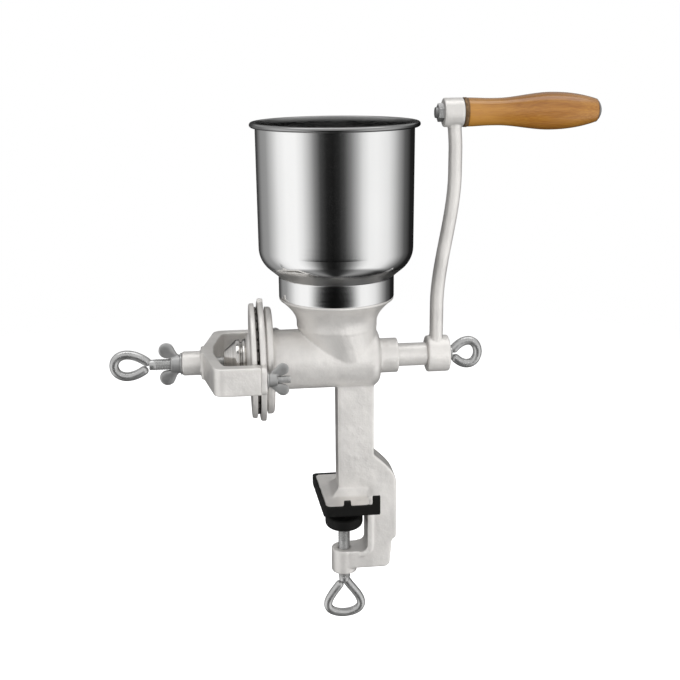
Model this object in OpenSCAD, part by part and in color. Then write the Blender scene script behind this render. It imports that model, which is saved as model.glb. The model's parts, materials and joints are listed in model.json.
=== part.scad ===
// Hand crank nut and grain mill that clamps to a table's edge.
// Millimetres. +Z is up, +X points to the crank, -Y is the front.
// The origin is the centre of the clamp's seat, where the jaw pad lies on the table.

/* [Barrel and shaft] */
// Height of the shaft above the table
shaft_z = 121; // [110:1:132]
// Distance from the clamp screw to the barrel's crank end
barrel_end_x = 28.5; // [26:0.5:34]
// Length of the barrel from its crank end to the flange
barrel_len = 84; // [78:1:96]
// Outer diameter of the barrel
barrel_d = 47; // [45:0.5:52]
// Wall of the barrel round the worm
barrel_wall = 3.9; // [3:0.1:4.5]
// Wall at the barrel's crank end, where the bearing starts
end_wall = 8.5; // [6:0.5:11]
// Diameter of the shaft
shaft_d = 18.2; // [14:0.2:20]
// Outer diameter of the bearing boss
bearing_d = 27.4; // [25:0.2:32]
// Length of the bearing boss outside the barrel
bearing_len = 14.7; // [10:0.1:20]

/* [Flange and burrs] */
// Diameter of the flange that carries the ears
flange_d = 95; // [92:1:104]
// Thickness of that flange
flange_t = 4.5; // [4.2:0.1:7]
// Diameter of the flange's rear rim
rear_rim_d = 84; // [78:1:86]
// Thickness of the rear rim
rear_rim_t = 5; // [4:0.5:8]
// Width of the groove between flange and rim
rim_groove_w = 1.5; // [1:0.5:3]
// Depth of that groove
rim_groove_depth = 4; // [2:0.5:8]
// Diameter of both burrs
burr_d = 84; // [78:1:86]
// Thickness of each burr
burr_t = 3.8; // [3.5:0.1:5]
// Diameter of the hole in each burr
burr_hole_d = 34; // [33.6:0.2:38]
// Gap between the burrs
burr_gap = 0.4; // [0.3:0.1:1]
// Depth of the seat of the fixed burr in the flange
burr_seat_depth = 3.5; // [2.5:0.1:3.5]
// Depth of the grinding grooves
groove_depth = 1.1; // [0.6:0.1:1.4]
// Number of fine grinding grooves on the outer ring
fine_grooves = 30; // [18:1:40]
// Number of coarse feeding grooves round the hole
coarse_grooves = 10; // [6:1:14]
// Diameter of the burr carrier
carrier_d = 90; // [88:0.5:91]
// Thickness of the burr carrier's disc
carrier_t = 4; // [3.8:0.1:6]
// Depth of the turning burr's seat in the carrier
carrier_seat_depth = 2.2; // [1.4:0.1:2.4]
// Diameter of the carrier's hub
hub_d = 34; // [32:0.5:40]
// Length of the carrier's hub without its nose
hub_len = 12; // [10:0.5:15]
// Diameter of the screws that hold the burrs
burr_screw_d = 4; // [3:0.5:5]

/* [Worm] */
// Pitch of the worm
worm_pitch = 24; // [18:1:30]
// Distance from the flange's face back to the worm's front end
worm_set_back = 13; // [11:0.5:18]
// Thickness of the worm's flight at its edge
flight_t = 3.5; // [2.5:0.5:5]
// Diameter of the shaft's nose that carries the burr carrier
nose_d = 16; // [14:0.5:18]
// Diameter of the cross pin that drives the carrier
drive_pin_d = 4.8; // [3:0.2:5]
// Length of that pin
drive_pin_len = 31; // [28:0.5:32]
// Diameter of the thrust ball
ball_d = 8; // [6:0.5:9]

/* [Yoke] */
// Distance from the flange to the inner face of the yoke's bar
yoke_reach = 34.5; // [32:0.5:42]
// Height of the yoke
yoke_h = 21.5; // [20:0.5:26]
// Thickness of the yoke's legs
leg_t = 9; // [8:0.5:12]
// Distance between the legs
leg_gap = 92.4; // [92:0.2:98]
// Thickness of the yoke's bar
bar_t = 8; // [7:0.5:12]
// How far the bar is swept back at its ends
bar_sweep = 7; // [3:0.5:9]
// Diameter of the yoke's boss
yoke_boss_d = 18.8; // [17:0.2:24]
// Length of the boss in front of the bar
yoke_boss_len = 16.7; // [12:0.1:22]
// Diameter of the studs in the legs
stud_d = 6; // [5:0.5:6]
// Length of stud that stands out behind the flange
stud_out = 17; // [15:0.5:20]

/* [Eye screws] */
// Diameter of the adjusting screw
adjust_d = 9; // [8:0.2:10]
// Length of the adjusting screw that shows in front of the lock nut
adjust_out = 8; // [5:0.5:12]
// Diameter of the clamp screw
clamp_d = 9.8; // [9:0.2:11]
// Diameter of the crank screw
crank_screw_d = 7; // [6:0.5:8]
// Diameter of the bent rod of the eyes
eye_rod_d = 7; // [6:0.5:8]
// Length and width of the adjusting screw's eye, outside
adjust_eye = [33, 24.5];
// Length and width of the clamp screw's eye, outside
clamp_eye = [40, 35];
// Length and width of the crank screw's eye, outside
crank_eye = [26.5, 26];

/* [Wing nuts] */
// Span of the lock nut's wings
lock_span = 34; // [30:0.5:38]
// Diameter of the lock nut's hub
lock_hub_d = 15; // [14:0.5:18]
// Length of the lock nut's hub
lock_hub_len = 7.5; // [6:0.5:10]
// Span of the wings of the yoke's nuts
nut_span = 25; // [22:0.5:26]
// Diameter of the hub of the yoke's nuts
nut_hub_d = 11; // [10:0.5:12]
// Length of the hub of the yoke's nuts
nut_hub_len = 6.5; // [5:0.5:8]
// Thickness of the washers under the nuts
washer_t = 1; // [0.8:0.1:1.6]

/* [Neck and hopper] */
// Distance of the hopper's axis from the clamp screw
hopper_x = -4.5; // [-8:0.5:0]
// Diameter of the neck's waist
neck_d = 62.5; // [58:0.5:70]
// Diameter of the hopper's collar
collar_d = 89; // [84:0.5:92]
// Height of the hopper's collar
collar_h = 17; // [16:0.5:26]
// Height of the collar's lower edge above the shaft
collar_rise = 50.5; // [48:0.5:56]
// Height of the spigot inside the collar
spigot_h = 14; // [10:0.5:15]
// Wall of the neck
neck_wall = 4.5; // [3.5:0.5:6]
// Distance from the collar's lower edge down to the neck's waist
waist_drop = 24.5; // [23:0.5:28]
// Distance from the collar's lower edge down to the foot of the neck's flare
flare_drop = 19.5; // [17:0.5:21]
// Diameter of the slanting funnel inside the neck at its lower end
funnel_d = 28; // [24:0.5:29]
// Diameter of the bowl at its lower end
bowl_low_d = 118.4; // [114:0.2:120]
// Diameter of the bowl at its top
bowl_top_d = 119.2; // [117:0.2:122]
// Height of the bowl from the collar to the rim
bowl_h = 115.5; // [90:0.5:130]
// Radius of the bowl's lower corner
bowl_round = 20; // [10:0.5:22]
// Slope of the shoulder between that corner and the collar
bowl_slope = 40; // [32:1:50]
// Diameter of the rolled rim
rim_d = 127.6; // [124:0.2:132]
// Thickness of the hopper's sheet
sheet_t = 1; // [0.8:0.1:1.5]

/* [Crank] */
// Distance from the shaft to the grip's axis
crank_throw = 188; // [160:1:210]
// Free length of shaft between the bearing boss and the crank's hub
crank_gap = 23.6; // [18:0.2:30]
// Diameter of the crank's hub
crank_hub_d = 29; // [27:0.5:34]
// Length of the crank's hub
crank_hub_len = 17.8; // [16:0.2:24]
// Diameter of the shaft's tenon in the hub
tenon_d = 14.4; // [13:0.2:15]
// Thickness of the arm along the shaft's direction
arm_t = 10; // [9:0.5:13]
// Width of the arm at the hub
arm_w = 17; // [14:0.5:20]
// How far the arm leans out on its way up
arm_lean = 12.5; // [6:0.5:16]
// Diameter of the arm's upper boss
top_boss_d = 21.6; // [20:0.2:26]
// Length of the arm's upper boss
top_boss_len = 15.2; // [13:0.2:18]

/* [Grip] */
// Length of the wooden grip
grip_len = 101; // [90:1:115]
// Diameter of the grip's inner end
grip_end_d = 21.4; // [20:0.2:24]
// Diameter of the grip's neck
grip_neck_d = 20.2; // [18:0.2:20.4]
// Largest diameter of the grip
grip_max_d = 28; // [25:0.2:32]
// Diameter of the grip's outer end
grip_tip_d = 17.5; // [16.4:0.2:20]
// Diameter of the bolt through the grip
grip_bolt_d = 8; // [6:0.5:9]
// Thickness of the ferrule at the grip's inner end
ferrule_t = 2.6; // [2:0.2:4]

/* [Post and clamp] */
// Width of the post
post_w = 29; // [26:0.5:34]
// Thickness of the post and the clamp's bow
post_t = 22; // [21.4:0.2:30]
// Distance from the clamp screw to the post's left side
post_left = 5.5; // [4:0.5:8]
// Depth of the clamp's throat from the screw to the bow
throat_depth = 18; // [17.5:0.5:26]
// Height of the clamp's opening under the jaw pad
throat_h = 43.5; // [42:0.5:52]
// Width of the bow behind the throat
bow_w = 24; // [20:0.5:30]
// Height of the clamp's lower arm
arm_h = 15.5; // [13:0.5:20]
// Thickness of the upper jaw
jaw_t = 5; // [4.5:0.5:8]
// Size of the jaw from front to back
jaw_depth = 66; // [60:1:72]
// Distance from the clamp screw to the jaw's free edge at the front
jaw_reach = 17.5; // [16:0.5:20]
// How much further the jaw reaches at its back
jaw_splay = 3; // [0:0.5:5]
// Diameter of the threaded boss
clamp_boss_d = 21; // [19:0.2:21.2]
// Thickness of the jaw pad
pad_t = 3; // [2.5:0.5:3.5]
// Thickness of the jaw pad's lips
lip_t = 2.4; // [2:0.2:3]
// How far the jaw pad's ear reaches past the end of the jaw
pad_ear_out = 7.5; // [6:0.5:9]
// Width of that ear
pad_ear_w = 6.3; // [4:0.1:8]
// Height of that ear above the jaw
pad_ear_h = 8; // [6:0.5:10]
// Width of the jaw pad's clip
pad_clip_w = 5.5; // [4:0.5:8]
// Diameter of the clamp's foot with its cap
foot_d = 31; // [28:0.5:34]
// Height of the clamp's foot with its cap
foot_h = 11; // [10:0.5:12]
// Radius of the cap's lower edge
cap_round = 4.5; // [3:0.5:5]
// Distance from the jaw pad down to the foot
foot_drop = 14; // [8:0.5:16]

/* [Fits] */
// Radial clearance of shafts and threads that turn in their holes
turn_gap = 0.06; // [0.03:0.01:0.09]
// Clearance between pieces that are fitted loosely
loose_gap = 0.3; // [0.25:0.05:0.4]
// Clearance between faces that bear on each other
face_gap = 0.05; // [0.02:0.01:0.1]

/* [Hidden] */

// Colours of the finishes
tinned_iron = [0.78, 0.77, 0.75];
stainless = [0.85, 0.86, 0.88];
zinc_steel = [0.72, 0.73, 0.75];
dark_iron = [0.45, 0.45, 0.45];
black_rubber = [0.08, 0.08, 0.08];
varnished_wood = [0.72, 0.45, 0.2];
blued_steel = [0.25, 0.22, 0.2];

// How finely round shapes are drawn
round_fn = 72;
small_fn = 40;
hull_fn = 32;
corner_steps = 6;
over = 1;

// Places along the shaft, from the flange towards the yoke
rim_back_x = barrel_end_x - barrel_len;
rim_front_x = rim_back_x - rear_rim_t;
flange_back_x = rim_front_x - rim_groove_w;
flange_x = flange_back_x - flange_t;
fixed_burr_x = flange_x + burr_seat_depth - burr_t;
turning_burr_x = fixed_burr_x - burr_gap - burr_t;
carrier_face_x = turning_burr_x + carrier_seat_depth;
carrier_back_x = carrier_face_x - carrier_t;
hub_end_x = carrier_back_x - hub_len;
hub_nose_x = hub_end_x - 8.5;
pin_x = turning_burr_x - face_gap - drive_pin_d / 2;
ball_seat_x = pin_x - drive_pin_d / 2 - 2.5;
nose_x = ball_seat_x - 5;
ball_x = ball_seat_x - face_gap - ball_d / 2;
adjust_tip_x = ball_x - ball_d / 2 - face_gap;
bar_x = flange_x - yoke_reach;
boss_end_x = bar_x - bar_t - yoke_boss_len;
lock_washer_x = boss_end_x - face_gap - washer_t;
lock_nut_x = lock_washer_x - face_gap;
lock_wing_reach = 9;
adjust_eye_x = lock_nut_x - lock_hub_len - lock_wing_reach - adjust_out;

// Places along the shaft, from the barrel towards the crank
bearing_end_x = barrel_end_x + bearing_len;
chamber_end_x = barrel_end_x - end_wall;
crank_hub_x = bearing_end_x + crank_gap;
crank_hub_end_x = crank_hub_x + crank_hub_len;
tenon_len = crank_hub_len - 1.6;
crank_washer_x = crank_hub_end_x + face_gap;
crank_head_x = crank_washer_x + washer_t + face_gap;

// Radii inside the barrel
chamber_r = barrel_d / 2 - barrel_wall;
worm_r = chamber_r - 0.7;
core_r = shaft_d / 2 + 0.9;
worm_end_x = chamber_end_x - 0.6;
worm_front_x = flange_x + worm_set_back;

// Studs in the yoke's legs
stud_y = leg_gap / 2 + leg_t / 2;
stud_in = 18;
nut_seat_x = flange_back_x + face_gap;

// Neck and hopper heights
collar_z = shaft_z + collar_rise;
waist_top_z = collar_z - flare_drop;
waist_z = collar_z - waist_drop;
lip_z = collar_z - 2.5;
bowl_z = collar_z + collar_h;
rim_z = bowl_z + bowl_h;
spigot_r = collar_d / 2 - sheet_t - loose_gap;

// Crank and grip
grip_z = shaft_z + crank_throw;
arm_low_x = crank_hub_x + 8;
arm_high_x = arm_low_x + arm_lean;
top_boss_x = arm_high_x - top_boss_len / 2 - 2.5;
ferrule_x = top_boss_x + top_boss_len + face_gap;
grip_x = ferrule_x + ferrule_t + face_gap;

// Clamp
throat_z = -throat_h;
jaw_z = pad_t;
jaw_top_z = jaw_z + jaw_t;
bow_x = throat_depth + bow_w;
shoulder_z = 41;
shoulder_h = 25;
arm_end_x = throat_depth - 6;
post_right = post_w - post_left;
jaw_right = post_right - 6;
clamp_boss_h = arm_h + 5.5;
clamp_boss_z = throat_z - clamp_boss_h;
foot_top_z = -foot_drop;
foot_nose_r = clamp_d / 2 + 3;
foot_cone_h = 3;
foot_z = foot_top_z - foot_h;
cap_t = 2.4;
swivel_r = 3.4;
swivel_len = 6;

// Points of an arc round [cx, cy] from angle a0 to a1
function arc(cx, cy, r, a0, a1, n) =
    [for (i = [0:n]) let (a = a0 + (a1 - a0) * i / n) [cx + r * cos(a), cy + r * sin(a)]];

// A rectangle from [x0, y0] to [x1, y1] with round corners
function round_rect(x0, y0, x1, y1, r) = concat(
    arc(x1 - r, y1 - r, r, 0, 90, corner_steps),
    arc(x0 + r, y1 - r, r, 90, 180, corner_steps),
    arc(x0 + r, y0 + r, r, 180, 270, corner_steps),
    arc(x1 - r, y0 + r, r, 270, 360, corner_steps));

// Goes smoothly from 0 to 1 as t does
function ease(t) = let (u = min(1, max(0, t))) u * u * (3 - 2 * u);

// A cylinder on the shaft's line
module rod_x(x0, x1, r, z = shaft_z, y = 0, fn = round_fn) {
    translate([x0, y, z])
        rotate([0, 90, 0])
            cylinder(h = x1 - x0, r = r, $fn = fn);
}

// A profile of [radius, x] points turned round the shaft's line
module turned_x(profile, z = shaft_z, y = 0) {
    translate([0, y, z])
        rotate([0, 90, 0])
            rotate_extrude($fn = round_fn)
                polygon(profile);
}

// A profile of [radius, z] points turned round a vertical line
module turned_z(profile, x = 0) {
    translate([x, 0, 0])
        rotate_extrude($fn = round_fn)
            polygon(profile);
}

// An outline of [x, z] points given a thickness along Y
module plate_y(outline, t) {
    rotate([90, 0, 0])
        linear_extrude(height = t, center = true)
            polygon(outline);
}

// A closed tube through rings of points, with flat ends
module skin(rings) {
    n = len(rings[0]);
    m = len(rings);
    polyhedron(
        points = [for (ring = rings) for (p = ring) p],
        faces = concat(
            [[for (j = [n - 1:-1:0]) j]],
            [for (i = [0:m - 2]) for (j = [0:n - 1])
                [i * n + j, i * n + (j + 1) % n, (i + 1) * n + j]],
            [for (i = [0:m - 2]) for (j = [0:n - 1])
                [i * n + (j + 1) % n, (i + 1) * n + (j + 1) % n, (i + 1) * n + j]],
            [[for (j = [0:n - 1]) (m - 1) * n + j]]));
}

// Centre line of a bent eye: a drop shape with its tip at [0, 0]
function eye_shape(a, swell) = sin(a) * pow(cos(a / 2), swell);
function eye_point(a, len, width, swell) =
    [len * (1 + cos(a)) / 2, width * eye_shape(a, swell)];

// The bent rod of an eye screw. It leaves the screw's axis at 0, reaches to -X and
// comes back beside its own start, where it tapers off
module bent_eye(size, swell) {
    steps = 36;
    sides = 10;
    start_a = 175;
    closing_a = 60;
    len = size[0] - eye_rod_d / 2 - 2;
    peak = max([for (a = [0:5:start_a]) eye_shape(a, swell)]);
    width = (size[1] - eye_rod_d) / 2 / peak;
    rod_r = eye_rod_d / 2;
    tip_r = 0.8;
    room = rod_r + loose_gap;
    end_a = max([for (a = [closing_a:1:start_a])
        if (2 * width * eye_shape(a, swell) > room + tip_r) a]);
    skin([for (i = [0:steps])
        let (a = start_a - (start_a + end_a) * i / steps,
            p = eye_point(a, len, width, swell),
            q = eye_point(a - 0.5, len, width, swell) - eye_point(a + 0.5, len, width, swell),
            d = q / norm(q),
            thick = a > -60 ? rod_r : min(rod_r, -2 * p[1] - room))
        [for (j = [0:sides - 1])
            let (b = -360 * j / sides, r = thick * cos(b), y = thick * sin(b))
            [-2 - p[0] + r * d[1], y, p[1] + r * d[0]]]]);
}

// Grooves cut into a burr's face. They lean like the arms of a fan
module burr_grooves(face_x, side) {
    for (i = [0:fine_grooves - 1])
        translate([face_x, 0, shaft_z])
            rotate([360 * i / fine_grooves, 0, 0])
                translate([-groove_depth, -1, burr_d * 0.33])
                    rotate([side * 24, 0, 0])
                        cube([2 * groove_depth, 2.2, burr_d * 0.26]);
    for (i = [0:coarse_grooves - 1])
        translate([face_x, 0, shaft_z])
            rotate([360 * (i + 0.5) / coarse_grooves, 0, 0])
                translate([-groove_depth * 1.3, -2, burr_hole_d / 2 - 2])
                    rotate([side * 20, 0, 0])
                        cube([2.6 * groove_depth, 4, burr_d * 0.14]);
}

// Places of the burr screws, above and below the shaft
module at_burr_screws() {
    for (side = [-1, 1])
        translate([0, 0, side * (burr_d / 4 + 8.5)])
            children();
}

// One yoke stud place
module at_studs() {
    for (side = [-1, 1])
        translate([0, side * stud_y, 0])
            children();
}

// The barrel with its flange, groove and rear rim
module barrel_outer() {
    end_r = barrel_d / 2 - 7;
    turned_x(concat(
        [[0, flange_x], [flange_d / 2 - 1, flange_x], [flange_d / 2, flange_x + 1],
            [flange_d / 2, flange_back_x], [rear_rim_d / 2 - rim_groove_depth, flange_back_x],
            [rear_rim_d / 2 - rim_groove_depth, rim_front_x], [rear_rim_d / 2, rim_front_x],
            [rear_rim_d / 2, rim_back_x - 1.5], [rear_rim_d / 2 - 1.5, rim_back_x]],
        arc(barrel_d / 2 + 5, rim_back_x + 5, 5, -90, -180, corner_steps),
        arc(end_r, barrel_end_x - 7, 7, 0, 90, corner_steps),
        [[0, barrel_end_x]]));
    rod_x(barrel_end_x - over, bearing_end_x, bearing_d / 2);
}

// The flange's two ears, against which the yoke's legs seat
module ears() {
    reach = stud_y + leg_t / 2 + 1;
    translate([flange_x, 0, shaft_z])
        rotate([0, 90, 0])
            linear_extrude(height = flange_t)
                polygon(round_rect(-yoke_h / 2, -reach, yoke_h / 2, reach, 4));
    rod_x(flange_x, flange_back_x, 2.5, z = shaft_z + flange_d / 2, fn = small_fn);
}

// The neck above the barrel: waist, flared lip and the spigot for the hopper
module neck_outer() {
    waist_r = neck_d / 2;
    turned_z(concat(
        [[0, waist_z], [waist_r, waist_z]],
        [for (i = [0:8])
            [waist_r + (collar_d / 2 - 1.5 - waist_r) * pow(i / 8, 1.7),
                waist_top_z + (lip_z - waist_top_z) * i / 8]],
        [[collar_d / 2, lip_z + 0.8], [collar_d / 2, collar_z], [spigot_r, collar_z],
            [spigot_r, collar_z + spigot_h - 1], [spigot_r - 1, collar_z + spigot_h],
            [0, collar_z + spigot_h]]), hopper_x);
}

// The slanting funnel between the neck and the barrel
module neck_funnel(top_r, low_r, low_x, top_z, low_z) {
    hull() {
        translate([hopper_x, 0, top_z])
            cylinder(h = over, r = top_r, $fn = hull_fn);
        translate([low_x, 0, low_z])
            cylinder(h = over, r = low_r, $fn = hull_fn);
    }
}

// The hollow of the neck
module neck_hollow() {
    waist_in = neck_d / 2 - neck_wall;
    top_in = spigot_r - neck_wall;
    turned_z([[0, waist_z], [waist_in, waist_z], [waist_in, waist_top_z],
        [top_in, lip_z], [top_in, collar_z + spigot_h + over], [0, collar_z + spigot_h + over]],
        hopper_x);
}

// Side view of the post and the clamp's bow
function bow_outline() = concat(
    [[-post_left, jaw_z], [-post_left, shaft_z - barrel_d / 4],
        [post_right, shaft_z - barrel_d / 4], [post_right, shoulder_z]],
    [for (i = [1:8]) [post_right + (bow_x - post_right) * sin(90 * i / 8),
        shoulder_z - shoulder_h * i / 8]],
    [[bow_x, -32], [bow_x - 3.5, -35], [bow_x - 5, throat_z - arm_h + 5]],
    arc(bow_x - 10, throat_z - arm_h + 5, 5, 0, -90, corner_steps),
    [[arm_end_x, throat_z - arm_h], [arm_end_x, throat_z]],
    arc(throat_depth - 5, throat_z + 5, 5, -90, 0, corner_steps),
    [[throat_depth, jaw_z]]);

// The raised bead round the clamp's throat, a little back from its edge
module throat_bead() {
    bead_w = 4;
    bead_h = 1.2;
    x0 = throat_depth + 0.3;
    z0 = throat_z - 0.3;
    plate_y(concat(
        arc(x0 - 5, z0 + 5, 5, -90, 0, corner_steps),
        [[x0, jaw_z + 1], [x0 + bead_w, jaw_z + 1]],
        arc(x0 - 5, z0 + 5, 5 + bead_w, 0, -90, corner_steps),
        [[arm_end_x, z0 - bead_w], [arm_end_x, z0]]),
        post_t + 2 * bead_h);
}

// Plan of the jaw or, with a margin, of the pad round it
function jaw_plan(margin) = [
    for (p = round_rect(-jaw_reach - margin, -jaw_depth / 2 - margin,
        jaw_right + margin, jaw_depth / 2 + margin, 4))
    [p[0] < 0 ? p[0] - jaw_splay * (p[1] / jaw_depth + 0.5) : p[0], p[1]]];

// The lower arm's end, drawn in to the threaded boss
module arm_end() {
    hull() {
        translate([0, 0, throat_z - arm_h])
            cylinder(h = arm_h, r = clamp_boss_d / 2 - 0.4, $fn = hull_fn);
        translate([arm_end_x, -post_t / 2, throat_z - arm_h])
            cube([0.5, post_t, arm_h]);
    }
}

// The upper jaw plate with the foot of the post on it
module jaw() {
    translate([0, 0, jaw_z])
        linear_extrude(height = jaw_t)
            polygon(jaw_plan(0));
    hull() {
        translate([-post_left - 6, -post_t / 2 - 5, jaw_top_z - 0.5])
            cube([post_w, post_t + 10, 0.5]);
        translate([-post_left, -post_t / 2, jaw_top_z + 5])
            cube([post_w - 6, post_t, 0.5]);
    }
}

// The main casting
module mill_body() {
    color(tinned_iron)
        difference() {
            union() {
                barrel_outer();
                ears();
                neck_outer();
                neck_funnel(neck_d / 2 - 0.4, barrel_d / 2 - 1, barrel_end_x - barrel_d / 2 + 0.5,
                    waist_z, shaft_z - 2);
                plate_y(bow_outline(), post_t);
                throat_bead();
                arm_end();
                jaw();
                translate([0, 0, clamp_boss_z])
                    cylinder(h = clamp_boss_h, r = clamp_boss_d / 2, $fn = round_fn);
            }
            rod_x(flange_x + burr_seat_depth, chamber_end_x, chamber_r);
            rod_x(flange_x - over, flange_x + burr_seat_depth, burr_d / 2 + loose_gap);
            rod_x(chamber_end_x - over, bearing_end_x + over, shaft_d / 2 + turn_gap);
            neck_hollow();
            neck_funnel(neck_d / 2 - neck_wall - 0.4, funnel_d / 2, barrel_end_x - barrel_d / 2 - 2,
                waist_z, shaft_z + 1);
            at_studs()
                rod_x(flange_x - over, flange_back_x + over, stud_d / 2 + loose_gap, fn = small_fn);
            at_burr_screws()
                rod_x(flange_x, flange_back_x + over, burr_screw_d / 2 + turn_gap, fn = small_fn);
            translate([0, 0, clamp_boss_z - over])
                cylinder(h = clamp_boss_h + 2 * over, r = clamp_d / 2 + turn_gap, $fn = round_fn);
        }
}

// The spun hopper: collar, bowl and rolled rim
module hopper() {
    collar_r = collar_d / 2;
    low_r = bowl_low_d / 2;
    top_r = bowl_top_d / 2;
    bead_r = 1.9;
    bead_x = rim_d / 2 - bead_r;
    round_x = low_r - bowl_round;
    sweep = 90 - bowl_slope;
    round_z = bowl_z + bowl_round * sin(sweep)
        + (round_x + bowl_round * cos(sweep) - collar_r) * tan(bowl_slope);
    outer = concat(
        [[collar_r, collar_z], [collar_r, bowl_z]],
        arc(round_x, round_z, bowl_round, -sweep, 0, 8),
        [[top_r, rim_z - 4]],
        arc(bead_x, rim_z - bead_r, bead_r, -90, 90, 8));
    inner = concat(
        [[min(top_r, bead_x) - sheet_t, rim_z]],
        arc(round_x, round_z, bowl_round - sheet_t, 0, -sweep, 8),
        [[collar_r - sheet_t, bowl_z + sheet_t * (1 / cos(bowl_slope) - tan(bowl_slope))],
            [collar_r - sheet_t, collar_z]]);
    color(stainless)
        turned_z(concat(outer, inner), hopper_x);
}

// The worm's flight, a ribbon wound round the shaft
module worm_flight() {
    steps_per_turn = 32;
    root_r = core_r - 1.5;
    root_t = flight_t + 3;
    x0 = worm_front_x + root_t / 2;
    x1 = worm_end_x - root_t / 2 - 1;
    turns = (x1 - x0) / worm_pitch;
    steps = ceil(turns * steps_per_turn);
    skin([for (i = [0:steps])
        let (a = 360 * turns * i / steps, x = x0 + (x1 - x0) * i / steps)
        [for (p = [[root_r, root_t], [worm_r, flight_t], [worm_r, -flight_t], [root_r, -root_t]])
            [x + p[1] / 2, p[0] * sin(a), shaft_z + p[0] * cos(a)]]]);
}

// Feed worm and crank shaft in one piece
module auger() {
    flat_x = tenon_d / 2 - 1.6;
    color(tinned_iron)
        difference() {
            union() {
                rod_x(worm_front_x, worm_end_x, core_r);
                worm_flight();
                rod_x(worm_end_x - over, crank_hub_x - face_gap, shaft_d / 2);
                difference() {
                    rod_x(crank_hub_x - over, crank_hub_x + tenon_len, tenon_d / 2);
                    translate([crank_hub_x - face_gap, -tenon_d, shaft_z + flat_x])
                        cube([tenon_len + over, 2 * tenon_d, tenon_d]);
                }
                rod_x(nose_x, worm_front_x + over, nose_d / 2);
            }
            rod_x(nose_x - over, ball_seat_x, ball_d / 2 + loose_gap, fn = small_fn);
            translate([pin_x, 0, shaft_z - nose_d])
                cylinder(h = 2 * nose_d, r = drive_pin_d / 2 + turn_gap, $fn = small_fn);
            rod_x(crank_hub_x, crank_hub_x + tenon_len + over, crank_screw_d / 2 + turn_gap,
                fn = small_fn);
        }
}

// A burr ring with its face at face_x
module burr_ring(x0, x1, face_x, side) {
    difference() {
        rod_x(x0, x1, burr_d / 2);
        rod_x(x0 - over, x1 + over, burr_hole_d / 2);
        burr_grooves(face_x, side);
        at_burr_screws() {
            rod_x(x0 - over, x1 + over, burr_screw_d / 2 + turn_gap, fn = small_fn);
            rod_x(face_x - 2, face_x + 2, burr_screw_d + 0.4, fn = small_fn);
        }
    }
}

// The fixed burr in its seat in the flange
module stationary_burr() {
    color(dark_iron)
        burr_ring(fixed_burr_x, fixed_burr_x + burr_t - face_gap, fixed_burr_x, 1);
}

// The turning burr in its seat in the carrier
module rotating_burr() {
    color(dark_iron)
        burr_ring(turning_burr_x + face_gap, turning_burr_x + burr_t,
            turning_burr_x + burr_t, -1);
}

// Two flat-headed screws along the shaft's direction
module burr_screws(head_x, tip_x) {
    way = tip_x > head_x ? 1 : -1;
    color(zinc_steel)
        at_burr_screws() {
            rod_x(min(head_x, tip_x), max(head_x, tip_x), burr_screw_d / 2, fn = small_fn);
            rod_x(min(head_x, head_x + way * 1.4), max(head_x, head_x + way * 1.4),
                burr_screw_d, fn = small_fn);
        }
}

module stationary_burr_screws() {
    burr_screws(fixed_burr_x + 0.5, flange_back_x - 0.3);
}

module rotating_burr_screws() {
    burr_screws(turning_burr_x + burr_t - 0.5, carrier_back_x + 0.3);
}

// Disc and hub that carry the turning burr. The hub has a groove and a tapered nose
// that guides the tip of the adjusting screw
module burr_carrier() {
    hub_r = hub_d / 2;
    groove_x = carrier_back_x - 6;
    nose_end_r = adjust_d / 2 + 4;
    color(tinned_iron)
        difference() {
            turned_x([[0, carrier_face_x], [carrier_d / 2, carrier_face_x],
                [carrier_d / 2, carrier_back_x + 1], [carrier_d / 2 - 1, carrier_back_x],
                [hub_r + 5, carrier_back_x], [hub_r + 4, carrier_back_x - 2],
                [hub_r, carrier_back_x - 4.5], [hub_r, groove_x],
                [hub_r - 2, groove_x], [hub_r - 2, groove_x - 2], [hub_r, groove_x - 2],
                [hub_r, hub_end_x + 1], [hub_r - 1, hub_end_x],
                [nose_end_r + 0.5, hub_nose_x + 0.5], [nose_end_r, hub_nose_x],
                [0, hub_nose_x]]);
            rod_x(carrier_face_x - carrier_seat_depth, carrier_face_x + over,
                burr_d / 2 + loose_gap);
            rod_x(nose_x - 0.5, carrier_face_x + over, nose_d / 2 + turn_gap);
            rod_x(hub_nose_x - over, nose_x, adjust_d / 2 + loose_gap, fn = small_fn);
            translate([pin_x - drive_pin_d / 2 - face_gap, -drive_pin_d / 2 - 0.2,
                shaft_z - drive_pin_len / 2 - loose_gap])
                cube([drive_pin_d + 2 * carrier_t, drive_pin_d + 0.4,
                    drive_pin_len + 2 * loose_gap]);
            at_burr_screws()
                rod_x(carrier_back_x - over, carrier_face_x + over,
                    burr_screw_d / 2 + turn_gap, fn = small_fn);
        }
}

// Cross pin through the shaft's nose
module drive_pin() {
    color(zinc_steel)
        translate([pin_x, 0, shaft_z - drive_pin_len / 2])
            cylinder(h = drive_pin_len, r = drive_pin_d / 2, $fn = small_fn);
}

// Hardened ball that takes the thrust
module thrust_ball() {
    color(zinc_steel)
        translate([ball_x, 0, shaft_z])
            sphere(d = ball_d, $fn = small_fn);
}

// Half of the yoke's plan, as [x, y] points on the front side
function yoke_half() = let (
    out_y = leg_gap / 2 + leg_t,
    in_y = leg_gap / 2,
    boss_r = yoke_boss_d / 2)
    concat(
        [[bar_x, -boss_r], [bar_x + bar_sweep - 1.5, -in_y + 7]],
        arc(bar_x + bar_sweep + 5, -in_y + 5.5, 5.5, 180, 270, corner_steps),
        [[flange_x - face_gap, -in_y], [flange_x - face_gap, -out_y]],
        arc(bar_x - bar_t + bar_sweep + 8, -out_y + 8, 8, 270, 180, corner_steps),
        [[bar_x - bar_t, -boss_r - 2], [bar_x - bar_t - 2, -boss_r]]);

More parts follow.
